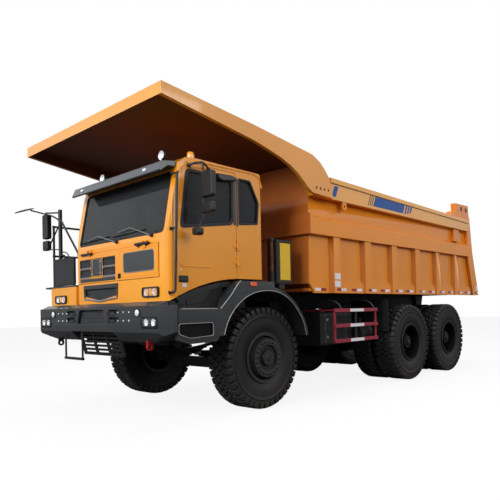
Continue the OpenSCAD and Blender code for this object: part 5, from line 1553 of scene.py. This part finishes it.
def tankTrim():
    parts = []
    for x0, x1, z0, z1, corner, places in tankGear["straps"]:
        for y in places:
            parts.append(border("strap", castIron, roundRect(x0, x1, z0, z1, corner), 0.006, 0.002, y - 0.025,
                y + 0.025, 0.0015, 1))
    for x, y, z in tankGear["fillers"]:
        parts.append(rods("filler", castIron, 0.004, ((x, y, z - 0.002), (x, y, z + 0.018), 0.058, 24),
            ((x, y, z + 0.018), (x, y, z + 0.034), 0.046, 8)))
    # Sight glass and drain of the hydraulic tank, and the straps of the air tank
    parts.append(rods("sight", dullSteel, 0.003,
        *[((1.328, 1.76, z), (1.34, 1.76, z), 0.024, 20) for z in (0.95, 1.25)]))
    for y in (2.65, 2.87):
        band = ((1.35, y - 0.018, 1.0), (1.35, y + 0.018, 1.0), 0.155, 40)
        parts.append(rods("band", castIron, 0.003, band))
    for radius, bend, places in tankGear["lines"]:
        parts.append(pipe("line", places, radius, rubberSeal, bend))
    dress("tank_trim", parts, "chassis", "frame_black")


# Raised bars of the tread plate as [x, y, angle, rows], the dark screen, and the loop behind it
deck = {
    "bar": [(-0.02, -0.002), (0.0, -0.0045), (0.02, -0.002), (0.02, 0.002), (0.0, 0.0045), (-0.02, 0.002)],
    "fields": [(-1.68, -1.64, 45, 24), (-1.65, -1.608, -45, 23)],
    "screen": (-1.397, -0.756, 1.884, 2.307),
    "loop": [(-1.3, -1.685, 2.29), (-1.3, -1.685, 2.372), (-1.16, -1.685, 2.372), (-1.16, -1.685, 2.29)],
}


def deckTrim():
    paintWhere("walkway", deckPlate, lambda x, y, z, normal: z < 1.884 and x < -0.7)
    parts = []
    for x, y, angle, rows in deck["fields"]:
        turn = Matrix.Rotation(math.radians(angle), 2)
        outline = [turn @ Vector(corner) + Vector((x, y)) for corner in deck["bar"]]
        seed = prism("bar", deckPlate, outline, 1.879, 1.8825, "z")
        parts.append(repeated(seed, rowTree, deckPlate, columns=16, rows=rows, columnStep=(0.06, 0, 0),
            rowStep=(0, 0.064, 0)))
    feet = [((-1.69, y, 1.88), (-1.69, y, 1.89), 0.04, 20) for y in (-1.605, -0.905, -0.205)]
    parts += [rods("feet", blackPlastic, 0.002, *feet, segments=1),
        lattice("screen", meshBlack, -1.385, -0.77, 1.896, 2.296, cabFace - 0.0045, 0.021, 0.0045),
        border("screenEdge", blackPlastic, roundRect(*deck["screen"], 0.012, 2), 0.002, 0.02, cabFace - 0.006,
            cabFace + 0.004, 0.002, 1),
        pipe("loop", deck["loop"], 0.011, blackPlastic)]
    dress("deck_trim", parts, "chassis", "frame_black")


def tailGear():
    y = 3.905 - frontY
    parts = []
    for side in (-1, 1):
        parts += [boxes("bracket", framePaint, 0.003,
            (*span(side, 0.478, 0.52), y - 0.045, y + 0.01, 1.09, 1.21)),
            prism("lampCase", blackPlastic, roundRect(*span(side, 0.5, 0.79), 1.085, 1.215, 0.02), y - 0.02,
            y + 0.02, "y", 0.006)]
        for k, lens in enumerate((redReflector, markerLens, whitePaint)):
            outline = roundRect(*span(side, 0.512 + 0.09 * k, 0.596 + 0.09 * k), 1.098, 1.202, 0.014, 3)
            parts.append(prism("tailLens", lens, outline, y + 0.018, y + 0.028, "y", 0.004))
    dress("tail_gear", parts, "chassis", "frame_black")


# Brake chambers on the two driven axles, and the lines along the frame
def brakeGear():
    parts = []
    for y in (3.95 + 0.19, 5.69 + 0.19):
        for side in (-1, 1):
            places = mirrored([(0.215, y - 0.01, 0.897), (0.3, y, 0.9), (0.39, y + 0.02, 0.905),
                (0.46, y + 0.03, 0.9)], side)
            hose = [(0.25, y, 0.965), (0.26, y + 0.05, 1.05), (0.38, y + 0.1, 1.08)]
            parts += [rods("chamber", framePaint, 0.006, (places[1], places[2], 0.078, 24),
                (places[0], places[1], 0.072, 24), (places[2], places[3], 0.014, 12)),
                pipe("brakeHose", mirrored(hose, side), 0.01, rubberSeal, 0.06)]
    for side in (-1, 1):
        for x, end, z, radius in ((0.484, 6.5, 1.395, 0.012), (0.486, 6.4, 1.365, 0.009)):
            line = [(x * side, -1.5, z), (x * side, end, z)]
            parts.append(pipe("frameLine", line, radius, rubberSeal))
    dress("brake_gear", parts, "chassis", "frame_black")


makeSprings()
makeSeats()
dashTrim()
tankTrim()
deckTrim()
tailGear()
brakeGear()
print("springs, seats, tanks, deck and tail")


# Ground, light and background, each lamp as [name, place, target, size, power]
studio = {
    "worldStrength": 0.42,
    "horizon": (0.07, 0.2),
    "floorGlow": 0.88,
    "floorBounce": 0.1,
    "lamps": [
        ("keyLight", (2.0, -17, 8), (0, -2, 1.8), (9, 6), 2050),
        ("sideLight", (16, 1, 8), (0, 2, 1.5), (12, 6), 900),
        ("topLight", (0, 1, 14), (0, 1, 0), (10, 12), 1100),
    ],
}


# An emptied tree with its light path, and where the camera sees it, also through glass
def emptied(owner):
    owner.use_nodes = True
    tree = owner.node_tree
    tree.nodes.clear()
    path = addNode(tree, "ShaderNodeLightPath")
    return tree, path, reckon(tree, "MAXIMUM", path["Is Camera Ray"], path["Is Transmission Ray"])


def blended(tree, factor, a, b):
    return addNode(tree, "ShaderNodeMixShader", {0: factor, 1: a, 2: b})[0]


def lightAndFloor():
    scene = bpy.context.scene
    scene.view_settings.view_transform = "Standard"
    scene.world = bpy.data.worlds.new("world")
    tree, path, direct = emptied(scene.world)
    seen, lit = [addNode(tree, "ShaderNodeBackground", {"Color": color, "Strength": strength})[0]
        for color, strength in (((1, 1, 1, 1), 1.0), ((0.95, 0.97, 1.0, 1), studio["worldStrength"]))]
    # Reflections see a dark horizon that turns white above it
    place = addNode(tree, "ShaderNodeTexCoord")["Generated"]
    height = addNode(tree, "ShaderNodeSeparateXYZ", {0: place})["Z"]
    glossy = reckon(tree, "MULTIPLY", path["Is Glossy Ray"], ranged(tree, height, *studio["horizon"]))
    surface = blended(tree, reckon(tree, "MAXIMUM", direct, glossy), lit, seen)
    addNode(tree, "ShaderNodeOutputWorld", {"Surface": surface})

    # The floor is white to the eye, keeps the shadows and throws little light back
    material = bpy.data.materials.new("floor")
    tree, path, direct = emptied(material)
    pale = addNode(tree, "ShaderNodeBsdfDiffuse", {"Color": (0.9, 0.9, 0.9, 1)})[0]
    glow = addNode(tree, "ShaderNodeEmission", {"Color": (1, 1, 1, 1), "Strength": 1.0})[0]
    dark = addNode(tree, "ShaderNodeBsdfDiffuse", {"Color": (*[studio["floorBounce"]] * 3, 1)})[0]
    surface = blended(tree, direct, dark, blended(tree, studio["floorGlow"], pale, glow))
    addNode(tree, "ShaderNodeOutputMaterial", {"Surface": surface})
    bm = bmesh.new()
    bmesh.ops.create_grid(bm, x_segments=1, y_segments=1, size=60)
    floor = meshFrom(bm, "floor", material)

    for name, place, target, size, power in studio["lamps"]:
        data = bpy.data.lights.new(name, "AREA")
        data.shape = "RECTANGLE"
        data.size, data.size_y = size
        data.energy = power
        lamp = newObject(name, data)
        lamp.location = place
        lamp.rotation_euler = (Vector(target) - Vector(place)).to_track_quat("-Z", "Y").to_euler()


lightAndFloor()
print("light and floor")
